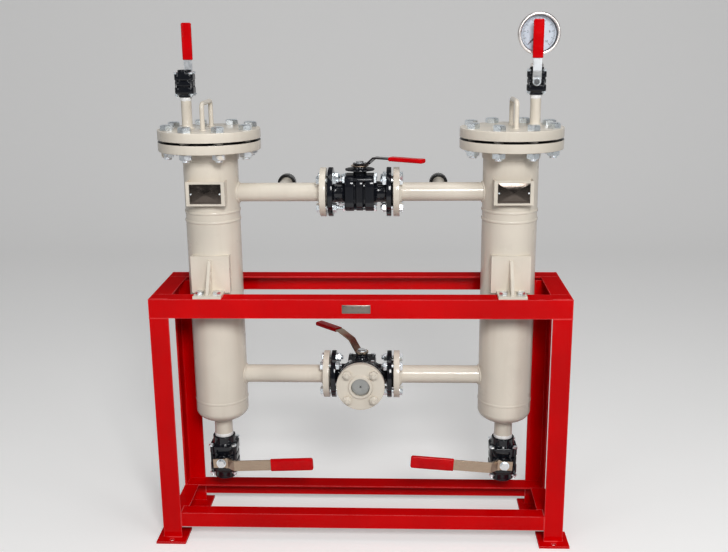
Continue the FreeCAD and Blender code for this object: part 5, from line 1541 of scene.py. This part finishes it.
@dataclass
class BallValve:
    """Ball valve along one axis: cap plates, middle piece, hubs or flanges, bolts and lever."""

    name: str
    place: Place
    half_length: float
    plate_side: float
    plate_near: float
    plate_far: float
    hub_r: float
    bolt_offset: float
    bolt_r: float
    bolt_flats: float
    bolt_head: float
    flange: bool = False
    lever_edge: float = 0.7
    lever_finish: str = "lever_stainless"

    def castings(self) -> list[Surface]:
        """Black castings about the valve's middle, with the flow along the place's third axis.

        Returns:
            Middle, both cap plates, both ends and the painted rods of the four bolts.
        """
        near, far = self.plate_near * 0.62, self.plate_far
        half, corner = self.plate_side / 2, self.plate_side * 0.26
        ring, groove = half - 0.8, half - half * 0.16
        waist = [
            (0, -near - 1), (groove, -near - 1), (groove, -near * 0.66), (ring, -near * 0.58),
            (ring, near * 0.58), (groove, near * 0.66), (groove, near + 1), (0, near + 1),
        ]
        made = [turned(eased(waist, 1.4, 3), 96, Outline.SQUARE, corner)]
        plate = eased([(0, near), (half, near), (half, far), (0, far)], 2.2, 3)
        if self.flange:
            end = [(0, far - 1), (33, far - 1), (28.5, far + 5), (27, far + 9), *NECK_AND_FLANGE]
        else:
            hub, length = self.hub_r, self.half_length
            end = [
                (0, far - 1), (hub + 3.5, far - 1), (hub + 0.8, far + 2.6), (hub, far + 4.5),
                (hub, length - 5), (hub + 0.1, length - 4), (hub, length - 0.8), (hub - 1.2, length),
                (0, length),
            ]
        for s in (-1, 1):
            over = Place((0, 0, 0)) if s > 0 else Place((0, 0, 0)).flipped()
            made.append(turned(plate, 96, Outline.SQUARE, corner).at(over))
            made.append(turned(eased(end, 1.4, 3), 96).at(over))
        rod, off = shank(self.bolt_r, -far - 0.5, far + 0.5, 12), self.bolt_offset
        made += [rod.at(Place((x * off, y * off, 0))) for x in (-1, 1) for y in (-1, 1)]
        return [s.at(self.place) for s in made]

    def bolts(self) -> list[Surface]:
        """Ends of the four bolts that run through the castings, with their nuts.

        Returns:
            Heads, thread ends and nuts.
        """
        head = Hex(self.bolt_flats, self.bolt_head).surface()
        nut = Hex(self.bolt_flats, self.bolt_head, nut=True).surface()
        far = self.plate_far
        tip = shank(self.bolt_r, 0.0, self.bolt_head + 2, 10)
        made = []
        for x, y in ((1, 1), (-1, 1), (-1, -1), (1, -1)):
            spot = self.place.moved(x * self.bolt_offset, y * self.bolt_offset, 0, 13 * x + 21 * y)
            over = spot.flipped().moved(0, 0, far)
            made += [head.at(spot.moved(0, 0, far)), nut.at(over), tip.at(over)]
        return made

    def handling(self) -> None:
        """Lever, stem and grip, which turn together."""
        body = f"{self.name}_handle"
        softened(f"{body}_plate", f"{self.name}_lever", self.lever_finish, self.lever_edge, body)
        dressed(f"{self.name}_stem", "ball_bright")
        piece(f"{self.name}_sleeve", self.grip(), "grip_vinyl", body, (f"{self.name}_grip",), 50.0)

    def grip(self) -> Surface:
        """Dipped sleeve over the lever's end.

        Formula: the node's own box axes give its length, width and thickness; across the length the
        section is a superellipse whose width and thickness shrink on a quarter circle near the tip,
        and swell a little at the open end.

        Returns:
            The closed surface in the place of the CAD node.
        """
        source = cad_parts[f"{self.name}_grip"].data
        points = np.unique(np.round(vertices_of(source) / MM, 3), axis=0)
        stem = np.array(self.place.origin)
        axes = np.linalg.svd(points - points.mean(0), full_matrices=False)[2]
        spread = (points - stem) @ axes.T
        low, high = spread.min(0), spread.max(0)
        if abs(low[0]) > abs(high[0]):
            axes[0], low[0], high[0] = -axes[0], -high[0], -low[0]
        if np.linalg.det(axes) < 0:
            axes[2], low[2], high[2] = -axes[2], -high[2], -low[2]
        middle, half = (low + high) / 2, (high - low) / 2
        length, width, thick = half[0] * 2, half[1], half[2]
        knee = np.linspace(0, TAU / 4, 9)
        corner, edge = width * 0.34, thick * 0.45
        straight = np.linspace(10, length - corner, 5)
        u = np.concatenate([[0, 0.5, 1.4, 3, 6], straight, length - corner + corner * np.sin(knee[1:])])
        left = np.clip(length - u, 0, None)
        w = width - corner + np.sqrt(np.maximum(corner**2 - np.maximum(corner - left, 0) ** 2, 0))
        t = thick - edge + np.sqrt(np.maximum(edge**2 - np.maximum(edge - left, 0) ** 2, 0))
        lip = -0.9 * np.exp(-u / 0.7) - 0.45 * np.exp(-((u - 7) ** 2) / 6.0)
        a = np.arange(40) / 40 * TAU
        cos = np.sign(np.cos(a)) * np.abs(np.cos(a)) ** 0.42
        sin = np.sign(np.sin(a)) * np.abs(np.sin(a)) ** 0.55
        local = np.stack(
            [
                np.repeat((low[0] + u)[:, None], 40, axis=1),
                middle[1] + (w + lip)[:, None] * cos,
                middle[2] + (t + lip)[:, None] * sin,
            ],
            axis=2,
        )
        return capped(local @ axes + stem).outward()


@dataclass
class Valves:
    """The six valves of the filter."""

    def build(self) -> None:
        """Crossover, three-way, drain and vent valves."""
        crossover = BallValve(
            "crossover", Place.along((0, 0, UPPER_Z), "+X"), half_length=82.5, plate_side=92.0,
            plate_near=23.0, plate_far=37.0, hub_r=0.0, bolt_offset=36.0, bolt_r=5.0, bolt_flats=16.0,
            bolt_head=6.5, flange=True, lever_finish="lever_dark",
        )
        drain = BallValve(
            "left_drain", Place.along((-VESSEL_X, 0, DRAIN_Z), "+Z"), half_length=61.0, plate_side=75.0,
            plate_near=23.0, plate_far=38.0, hub_r=30.5, bolt_offset=30.5, bolt_r=4.0, bolt_flats=13.0,
            bolt_head=5.3,
        )
        vent = BallValve(
            "left_vent", Place.along((LEFT_VENT_X, 0, VENT_Z), "+Z"), half_length=34.0, plate_side=48.0,
            plate_near=14.0, plate_far=24.0, hub_r=17.5, bolt_offset=18.5, bolt_r=2.8, bolt_flats=9.5,
            bolt_head=5.0, lever_edge=0.5, lever_finish="lever_bright",
        )
        right = Place.along((VESSEL_X, 0, DRAIN_Z), "+Z")
        drains = [drain, replace(drain, name="right_drain", place=right)]
        twisted = Place.along((RIGHT_VENT_X, 0, VENT_Z), "+Z", VENT_TWIST)
        vents = [vent, replace(vent, name="right_vent", place=twisted)]
        main = joined(crossover.castings() + self.crossover_bonnet())
        piece("crossover_casting", main, "valve_enamel", stands_for=("crossover_body", "crossover_ends"))
        lower = joined(sum([v.castings() for v in drains], []) + self.drain_bonnets())
        piece("drain_castings", lower, "valve_enamel", stands_for=("drain_valve_bodies",))
        upper = joined(sum([v.castings() for v in vents], []) + self.vent_bonnets())
        piece("vent_castings", upper, "valve_enamel", stands_for=("vent_valve_bodies",))
        bolts = joined(sum([v.bolts() for v in [crossover, *drains, *vents]], []) + self.bonnet_screws())
        piece("valve_bolts", bolts, "zinc_plate", stands_for=("valve_body_bolts",))
        self.three_way()
        for valve in [crossover, *drains, *vents]:
            valve.handling()
        middle = Place.along((0, 0, LOWER_Z), "+X")
        replace(crossover, name="three_way", place=middle, lever_finish="lever_stainless").handling()
        self.washers()
        disc = turned(eased([(8, 0), (23, 0), (23.5, 1.2), (22, 2.6), (8, 2.6), (8, 0)], 0.5, 2)[:-1], 64)
        disc = disc.at(Place((0, 0, UPPER_Z + 66.8)))
        piece("crossover_hub_disc", disc, "lever_stainless", "crossover_handle")
        dressed("valve_seats", "seat_resin")

    def crossover_bonnet(self) -> list[Surface]:
        """Bonnet, round stop plate and collar of the crossover valve."""
        base = Place((0, 0, UPPER_Z))
        bonnet = turned(eased([(0, 30), (20, 30), (17.5, 46), (17, 56), (17, 60), (0, 60)], 2.0, 3), 56)
        stop = turned(eased([(0, 56.8), (37.6, 56.8), (38, 58), (37.6, 60), (0, 60)], 0.5, 2), 96)
        collar = turned(eased([(0, 59), (19, 59), (17.5, 66), (14, 70.2), (0, 70.2)], 1.4, 3), 48)
        return [bonnet.at(base), stop.at(base), collar.at(base)]

    def drain_bonnets(self) -> list[Surface]:
        """Bonnets and stop strips of the drain valves, which face the front.

        Returns:
            Surfaces in place.
        """
        bonnet = turned(eased([(0, 18), (19, 18), (16, 34), (15, 40), (15, 48), (0, 48)], 2.0, 3), 48)
        strip = rounded_block((5, 51, 3), 0.9)
        made = []
        for s in (-1, 1):
            front = Place.along((VESSEL_X * s, 0, DRAIN_Z), "-Y")
            made += [bonnet.at(front), strip.at(Place.along(((VESSEL_X + 16) * s, -46.5, DRAIN_Z), "-Y"))]
        return made

    def vent_bonnets(self) -> list[Surface]:
        """Bonnets of the vent valves: the left one faces the rear and the right one the front."""
        bonnet = turned(eased([(0, 10), (12, 10), (10, 21), (9.5, 24), (9.5, 29), (0, 29)], 1.2, 3), 40)
        return [bonnet.at(Place.along((LEFT_VENT_X, 0, VENT_Z), "+Y")), bonnet.at(right_vent_front())]

    def bonnet_screws(self) -> list[Surface]:
        """Four small screws on the three-way valve's bonnet plate."""
        head = Hex(10.0, 4.0).surface()
        places = [Place((30.0 * x, 30.0 * y, LOWER_Z + 44.0)) for x in (-1, 1) for y in (-1, 1)]
        return [head.at(p.moved(0, 0, 0, 12 * n)) for n, p in enumerate(places)]

    def three_way(self) -> None:
        """Cast block, bonnet plate and three flanged ends of the three-way valve."""
        base = Place((0, 0, LOWER_Z))
        block = rounded_block((76, 76, 76), 6.0, 4).at(base)
        plate = rounded_block((74, 74, 6), 1.8, 3).at(base.moved(0, 0, 41.0))
        bonnet = turned(eased([(0, 40), (23, 40), (18.5, 47), (17, 50), (17, 56), (0, 56)], 1.6, 3), 56)
        casting = joined([block, plate, bonnet.at(base)])
        piece("three_way_casting", casting, "valve_enamel", stands_for=("three_way_body",))
        end = turned(eased([(0, 36), (33, 36), (30, 41), (27, 46), *NECK_AND_FLANGE], 1.4, 3), 96)
        ends = [end.at(Place.along((0, 0, LOWER_Z), axis)) for axis in ("+X", "-X", "-Y")]
        piece("three_way_flanged_ends", joined(ends), "valve_enamel", stands_for=("three_way_ends",))

    def washers(self) -> None:
        """Washer rings round the stem nuts, which turn with the levers."""
        for name, place, height, outer in (
            ("crossover", Place.along((0, 0, UPPER_Z), "+Z"), 75.0, 13.2),
            ("three_way", Place.along((0, 0, LOWER_Z), "+Z"), 65.0, 13.2),
            ("left_drain", Place.along((-VESSEL_X, 0, DRAIN_Z), "-Y"), 61.0, 13.0),
            ("right_drain", Place.along((VESSEL_X, 0, DRAIN_Z), "-Y"), 61.0, 13.0),
            ("left_vent", Place.along((LEFT_VENT_X, 0, VENT_Z), "+Y"), 37.0, 8.6),
            ("right_vent", right_vent_front(), 37.0, 8.6),
        ):
            ring = washer(5.0, outer, 1.3).at(place.moved(0, 0, height))
            piece(f"{name}_washer", ring, "zinc_plate", f"{name}_handle")


# Gauge


@dataclass
class Gauge:
    """Dial pressure gauge on the right vent valve, facing the front."""

    x: float = RIGHT_VENT_X
    back: float = 20.0
    z: float = 1317.0
    case_r: float = 48.5
    bezel_r: float = 52.2
    depth: float = 46.0
    bezel_depth: float = 13.0
    dial: float = 30.0
    bush_z: float = 1237.0
    strokes: int = 50
    start_angle: float = 225.0
    sweep: float = 270.0
    stroke_r: float = 39.0
    figure_r: float = 27.0

    @property
    def place(self) -> Place:
        """Middle of the case's back, with the third axis to the front and the second up."""
        return Place((self.x, self.back, self.z), ((1, 0, 0), (0, 0, 1), (0, -1, 0)))

    def build(self) -> None:
        """Case, print, pointer and window."""
        piece("gauge_housing", joined(self.housing()), "gauge_polish", stands_for=("gauge_case",))
        dressed("gauge_dial", "dial_card")
        dressed("gauge_pointer", "dial_ink")
        dressed("gauge_window", "window_glass")
        piece("dial_marks", joined(self.marks() + self.figures()), "dial_ink")
        # Painted shade: a black ring just inside the bezel stands for the shade on the case wall above the
        # dial
        rim = np.array([(43.0, 31.2), (46.3, 31.2), (46.3, 42.0), (44.6, 42.0), (43.0, 36.0)])
        piece("dial_shade_ring", turned(rim, 96).at(self.place), "dial_ink")

    def housing(self) -> list[Surface]:
        """Case with its rolled bezel, movement boss, stem, hexagon bush and relief plug.

        Returns:
            Surfaces in place.
        """
        r, b, d = self.case_r, self.bezel_r, self.depth
        neck = d - self.bezel_depth
        line = [
            (0, 0), (r - 2, 0), (r, 2), (r, neck), (b - 0.8, neck), (b, d - 11.5), (b, d - 4),
            (b - 1.6, d - 0.8), (b - 4, d), (45.8, d - 0.4), (44.6, d - 2.0), (44.5, 42.4), (46.6, 42.3),
            (46.6, 2), (0, 2),
        ]
        shell = turned(eased(line, 0.8, 2), 120)
        boss = turned(eased([(0, 1), (16.8, 1), (16.8, 28.8), (0, 28.8)], 1, 2), 40)
        stem_at = Place((self.x, 0.0, 0.0))
        low = self.bush_z
        hexagon = Hex(30.0, 9.0, nut=True).surface().at(stem_at.moved(0, 0, low))
        top = self.z - r + 2
        line = [(0, low - 9), (13.1, low - 9), (13.1, low), (10.5, low + 10), (10.5, top), (0, top)]
        stem = turned(eased(line, 0.8, 2), 48)
        relief = turned(eased([(0, r - 1), (4, r - 1), (4, r + 3.2), (3, r + 4), (0, r + 4)], 0.6, 2), 24)
        up = Place((self.x, 0.0, self.z))
        knob = turned(eased([(0, r - 1), (3.0, r - 1), (3.0, r + 3.4), (0, r + 3.4)], 0.6, 2), 20)
        return [
            shell.at(self.place), boss.at(self.place), hexagon, stem.at(stem_at), relief.at(up),
            knob.at(Place.along((self.x, -18.0, self.z), "-X")),
        ]

    def marks(self) -> list[Surface]:
        """Fifty-one thin strokes over 270 degrees, every fifth one longer and wider, and a fine arc.

        Returns:
            Raised strokes on the dial.
        """
        made = []
        for number in range(self.strokes + 1):
            a = math.radians(self.start_angle - self.sweep * number / self.strokes)
            major = number % 5 == 0
            length, width = (6.5, 1.1) if major else (3.4, 0.55)
            stroke = rounded_block((length, width, 0.16), 0.05, 1)
            middle = self.stroke_r - length / 2
            x, y = middle * math.cos(a), middle * math.sin(a)
            made.append(stroke.at(self.place.moved(x, y, self.dial + 0.05, math.degrees(a))))
        a = np.radians(np.linspace(self.start_angle, self.start_angle - self.sweep, 90))
        arc_r = self.stroke_r + 0.4
        path = np.stack([np.cos(a) * arc_r, np.sin(a) * arc_r, a * 0 + self.dial + 0.05], axis=1)
        made.append(carried(circle(0.22, 6), path, (0, 0, 1)).at(self.place))
        return made

    def figures(self) -> list[Surface]:
        """Plain numbers beside the longer strokes.

        Returns:
            Raised figures on the dial.
        """
        made = []
        for number in range(0, 11, 2):
            a = math.radians(self.start_angle - self.sweep / 10 * number)
            curve = bpy.data.curves.new(f"figure_{number}", "FONT")
            curve.body, curve.size, curve.extrude = str(number), 8.0, 0.06
            curve.align_x, curve.align_y = "CENTER", "CENTER"
            curve.resolution_u = 3
            text = linked(f"figure_{number}", curve)
            graph = bpy.context.evaluated_depsgraph_get()
            mesh = bpy.data.meshes.new_from_object(text.evaluated_get(graph))
            mesh.calc_loop_triangles()
            corners = np.zeros(len(mesh.loop_triangles) * 3, np.int32)
            mesh.loop_triangles.foreach_get("vertices", corners)
            bpy.data.objects.remove(text)
            x, y = self.figure_r * math.cos(a), self.figure_r * math.sin(a)
            shape = Surface(vertices_of(mesh), np.zeros((0, 4), int), corners.reshape(-1, 3))
            made.append(shape.at(self.place.moved(x, y, self.dial + 0.06)))
        return made


# Plates and supports


@dataclass
class Plates:
    """Lugs, plate brackets, bare name plates and the bare rail label."""

    plate: Pair = (80.0, 50.0)
    front: float = -90.0
    level: float = 935.0
    rivet_x: float = 36.5
    label: Pair = (72.0, 22.0)
    label_at: Triple = (-7.0, -140.0, 650.0)
    lug_bolt: Pair = (21.5, 115.0)
    lug_top: float = 682.0

    def build(self) -> None:
        """Supports with their bolts, then the plates."""
        softened("vessel_lugs", "support_lugs", "vessel_enamel", 1.0)
        softened("plate_brackets", "nameplate_brackets", "vessel_enamel", 0.7)
        piece("lug_fasteners", joined(self.lug_bolts()), "zinc_plate", stands_for=("lug_bolts",))
        plates, rivets = [], []
        for s in (-1, 1):
            face = Place.along((VESSEL_X * s, self.front, self.level), "-Y")
            plates.append(rounded_block((*self.plate, 1.0), 0.45, 2).at(face.moved(0, 0, 0.5)))
            plates += self.border(face, self.plate[0] / 2 - 5, self.plate[1] / 2 - 5)
            for x in (-1, 1):
                dome = turned(eased([(0, 0), (2.3, 0), (1.9, 0.5), (1.0, 0.85), (0, 0.95)], 0.4, 2), 20)
                rivets.append(dome.at(face.moved(self.rivet_x * x, 0, 0.95)))
        # The name plates take a dark colour that is a painted reflection
        piece("name_plates", joined(plates), "plate_mirror_dark_reflection", stands_for=("bare_plates",))
        piece("plate_rivets", joined(rivets), "zinc_plate")
        face = Place.along(self.label_at, "-Y")
        label = rounded_block((*self.label, 1.0), 0.4, 2).at(face.moved(0, 0, 0.5))
        half_width, half_height = self.label[0] / 2 - 3, self.label[1] / 2 - 2.8
        piece("rail_label", joined([label, *self.border(face, half_width, half_height)]), "label_brushed")

    def border(self, face: Place, half_width: float, half_height: float) -> list[Surface]:
        """Thin raised frame line on a plate.

        Args:
            face: Place of the plate's back.
            half_width: Half width of the line.
            half_height: Half height of the line.

        Returns:
            Four thin bars.
        """
        level = rounded_block((half_width * 2, 0.7, 0.5), 0.12, 1)
        upright = rounded_block((0.7, half_height * 2, 0.5), 0.12, 1)
        made = [level.at(face.moved(0, half_height * s, 0.75)) for s in (1, -1)]
        return made + [upright.at(face.moved(half_width * s, 0, 0.75)) for s in (1, -1)]

    def lug_bolts(self) -> list[Surface]:
        """Bolts through the lug feet and the top rails.

        Returns:
            Heads, washers, shanks and nuts.
        """
        head, nut = Hex(19.0, 8.0).surface(), Hex(19.0, 10.0, nut=True).surface()
        rod, flat = shank(6.0, FRAME_TOP - 20, self.lug_top + 1, 9), washer(6.4, 10.6, 1.2)
        x, y = self.lug_bolt
        made = []
        for s, row, hand in product((-1, 1), repeat=3):
            spot = Place((VESSEL_X * s + x * hand, y * row, 0.0)).moved(0, 0, 0, 17 * hand)
            over = spot.moved(0, 0, self.lug_top)
            made += [head.at(over), rod.at(spot), nut.at(spot.moved(0, 0, FRAME_TOP - 15)), flat.at(over)]
        return made


@dataclass
class Internals:
    """Pieces inside the vessels."""

    def build(self) -> None:
        """Seats, seals, screens and cover gaskets keep their CAD shapes."""
        for node, finish in (
            ("cover_gaskets", "gasket_fibre"), ("element_seats", "element_screen"),
            ("element_seals", "seal_rubber"), ("filter_elements", "element_screen"),
        ):
            dressed(node, finish)


# Studio


@dataclass
class Studio:
    """Pale floor with a curved backdrop, soft lamps and the camera."""

    lens: float = 47.16
    spot: Triple = (0.1076, -2.4352, 1.3397)
    yaw: float = -0.04391
    pitch: float = 0.2558
    roll: float = -0.01058
    shift: Pair = (0.00385, -0.0011)

    def build(self) -> None:
        """Camera first, then floor and lamps."""
        self.camera()
        self.ground()
        breast = (0.0, 0.0, 0.95)
        self.lamp("key", (0.6, -3.3, 2.6), breast, 1.0, 88.0)
        self.lamp("fill", (-2.3, -2.7, 1.9), breast, 1.3, 16.0)
        self.lamp("side", (2.5, -2.4, 2.0), breast, 1.2, 18.0)
        self.lamp("top", (0.3, -0.3, 3.3), (0.0, 0.0, 0.8), 1.5, 15.0)
        self.air()
        bpy.context.scene.view_settings.view_transform = "Standard"

    def air(self) -> None:
        """Dim air all round, which shows pale to the camera where the backdrop ends."""
        world = bpy.data.worlds.new("studio_air")
        world.use_nodes = True
        nodes, links = world.node_tree.nodes, world.node_tree.links
        back = nodes["Background"]
        back.inputs["Color"].default_value = (0.86, 0.88, 0.92, 1.0)
        ray = nodes.new("ShaderNodeLightPath")
        pick = nodes.new("ShaderNodeMix")
        pick.inputs["A"].default_value, pick.inputs["B"].default_value = 0.14, 0.5
        links.new(ray.outputs["Is Camera Ray"], pick.inputs["Factor"])
        links.new(pick.outputs["Result"], back.inputs["Strength"])
        bpy.context.scene.world = world

    def camera(self) -> None:
        """Camera at the photograph's viewing angle."""
        cy, sy = math.cos(self.yaw), math.sin(self.yaw)
        cp, sp = math.cos(self.pitch), math.sin(self.pitch)
        ahead = np.array([sy * cp, cy * cp, -sp])
        right = np.array([cy, -sy, 0.0])
        up = np.cross(right, ahead)
        c, s = math.cos(self.roll), math.sin(self.roll)
        columns = np.stack([c * right + s * up, c * up - s * right, -ahead], axis=1)
        data = bpy.data.cameras.new("photo_camera")
        data.lens = self.lens
        data.shift_x, data.shift_y = self.shift
        data.clip_end = 50.0
        eye = linked("photo_camera", data)
        eye.matrix_world = Matrix.Translation(self.spot) @ Matrix(columns.tolist()).to_4x4()
        bpy.context.scene.camera = eye

    def ground(self) -> None:
        """Floor that curves up into a backdrop.

        Formula: each line runs back along the floor, then up on a wide quarter circle.
        """
        bend, back, half = 2.2, 3.2, 9.0
        t = np.linspace(0, TAU / 4, 24)
        y = np.concatenate([[-6.0, 0.0], back + bend * np.sin(t), [back + bend]])
        z = np.concatenate([[0.0, 0.0], bend - bend * np.cos(t), [7.0]])
        x = np.linspace(-half, half, 7)
        grid = np.stack(np.broadcast_arrays(x[None, :], y[:, None], z[:, None]), axis=2)
        mesh = bpy.data.meshes.new("studio_floor")
        faces = net(len(y), len(x), False, False)
        mesh.from_pydata(grid.reshape(-1, 3).tolist(), [], faces.tolist())
        mesh.polygons.foreach_set("use_smooth", np.ones(len(mesh.polygons), bool))
        mesh.materials.append(finished("studio_ground"))
        linked("studio_floor", mesh)

    def lamp(self, name: str, spot: Triple, aim: Triple, size: float, power: float) -> None:
        """Soft square lamp.

        Args:
            name: Name of the lamp.
            spot: Where it hangs.
            aim: Point that it faces.
            size: Side of its square.
            power: Power in watts.
        """
        data = bpy.data.lights.new(name, "AREA")
        data.size = size
        data.energy = power
        lamp = linked(name, data)
        lamp.visible_camera = False
        away = np.array(spot) - np.array(aim)
        away /= np.linalg.norm(away)
        side = np.cross((0, 0, 1), away)
        side /= np.linalg.norm(side)
        columns = np.stack([side, np.cross(away, side), away], axis=1)
        lamp.matrix_world = Matrix.Translation(spot) @ Matrix(columns.tolist()).to_4x4()


def main() -> None:
    logging.basicConfig(level=logging.INFO, format="%(name)s %(message)s")
    Studio().build()
    Stand().build()
    Vessel("left", -1, -LEFT_VENT_X - VESSEL_X).build()
    Vessel("right", 1, RIGHT_VENT_X - VESSEL_X).build()
    Pipework().build()
    Valves().build()
    Gauge().build()
    Plates().build()
    Internals().build()
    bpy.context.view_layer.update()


if __name__ == "__main__":
    main()
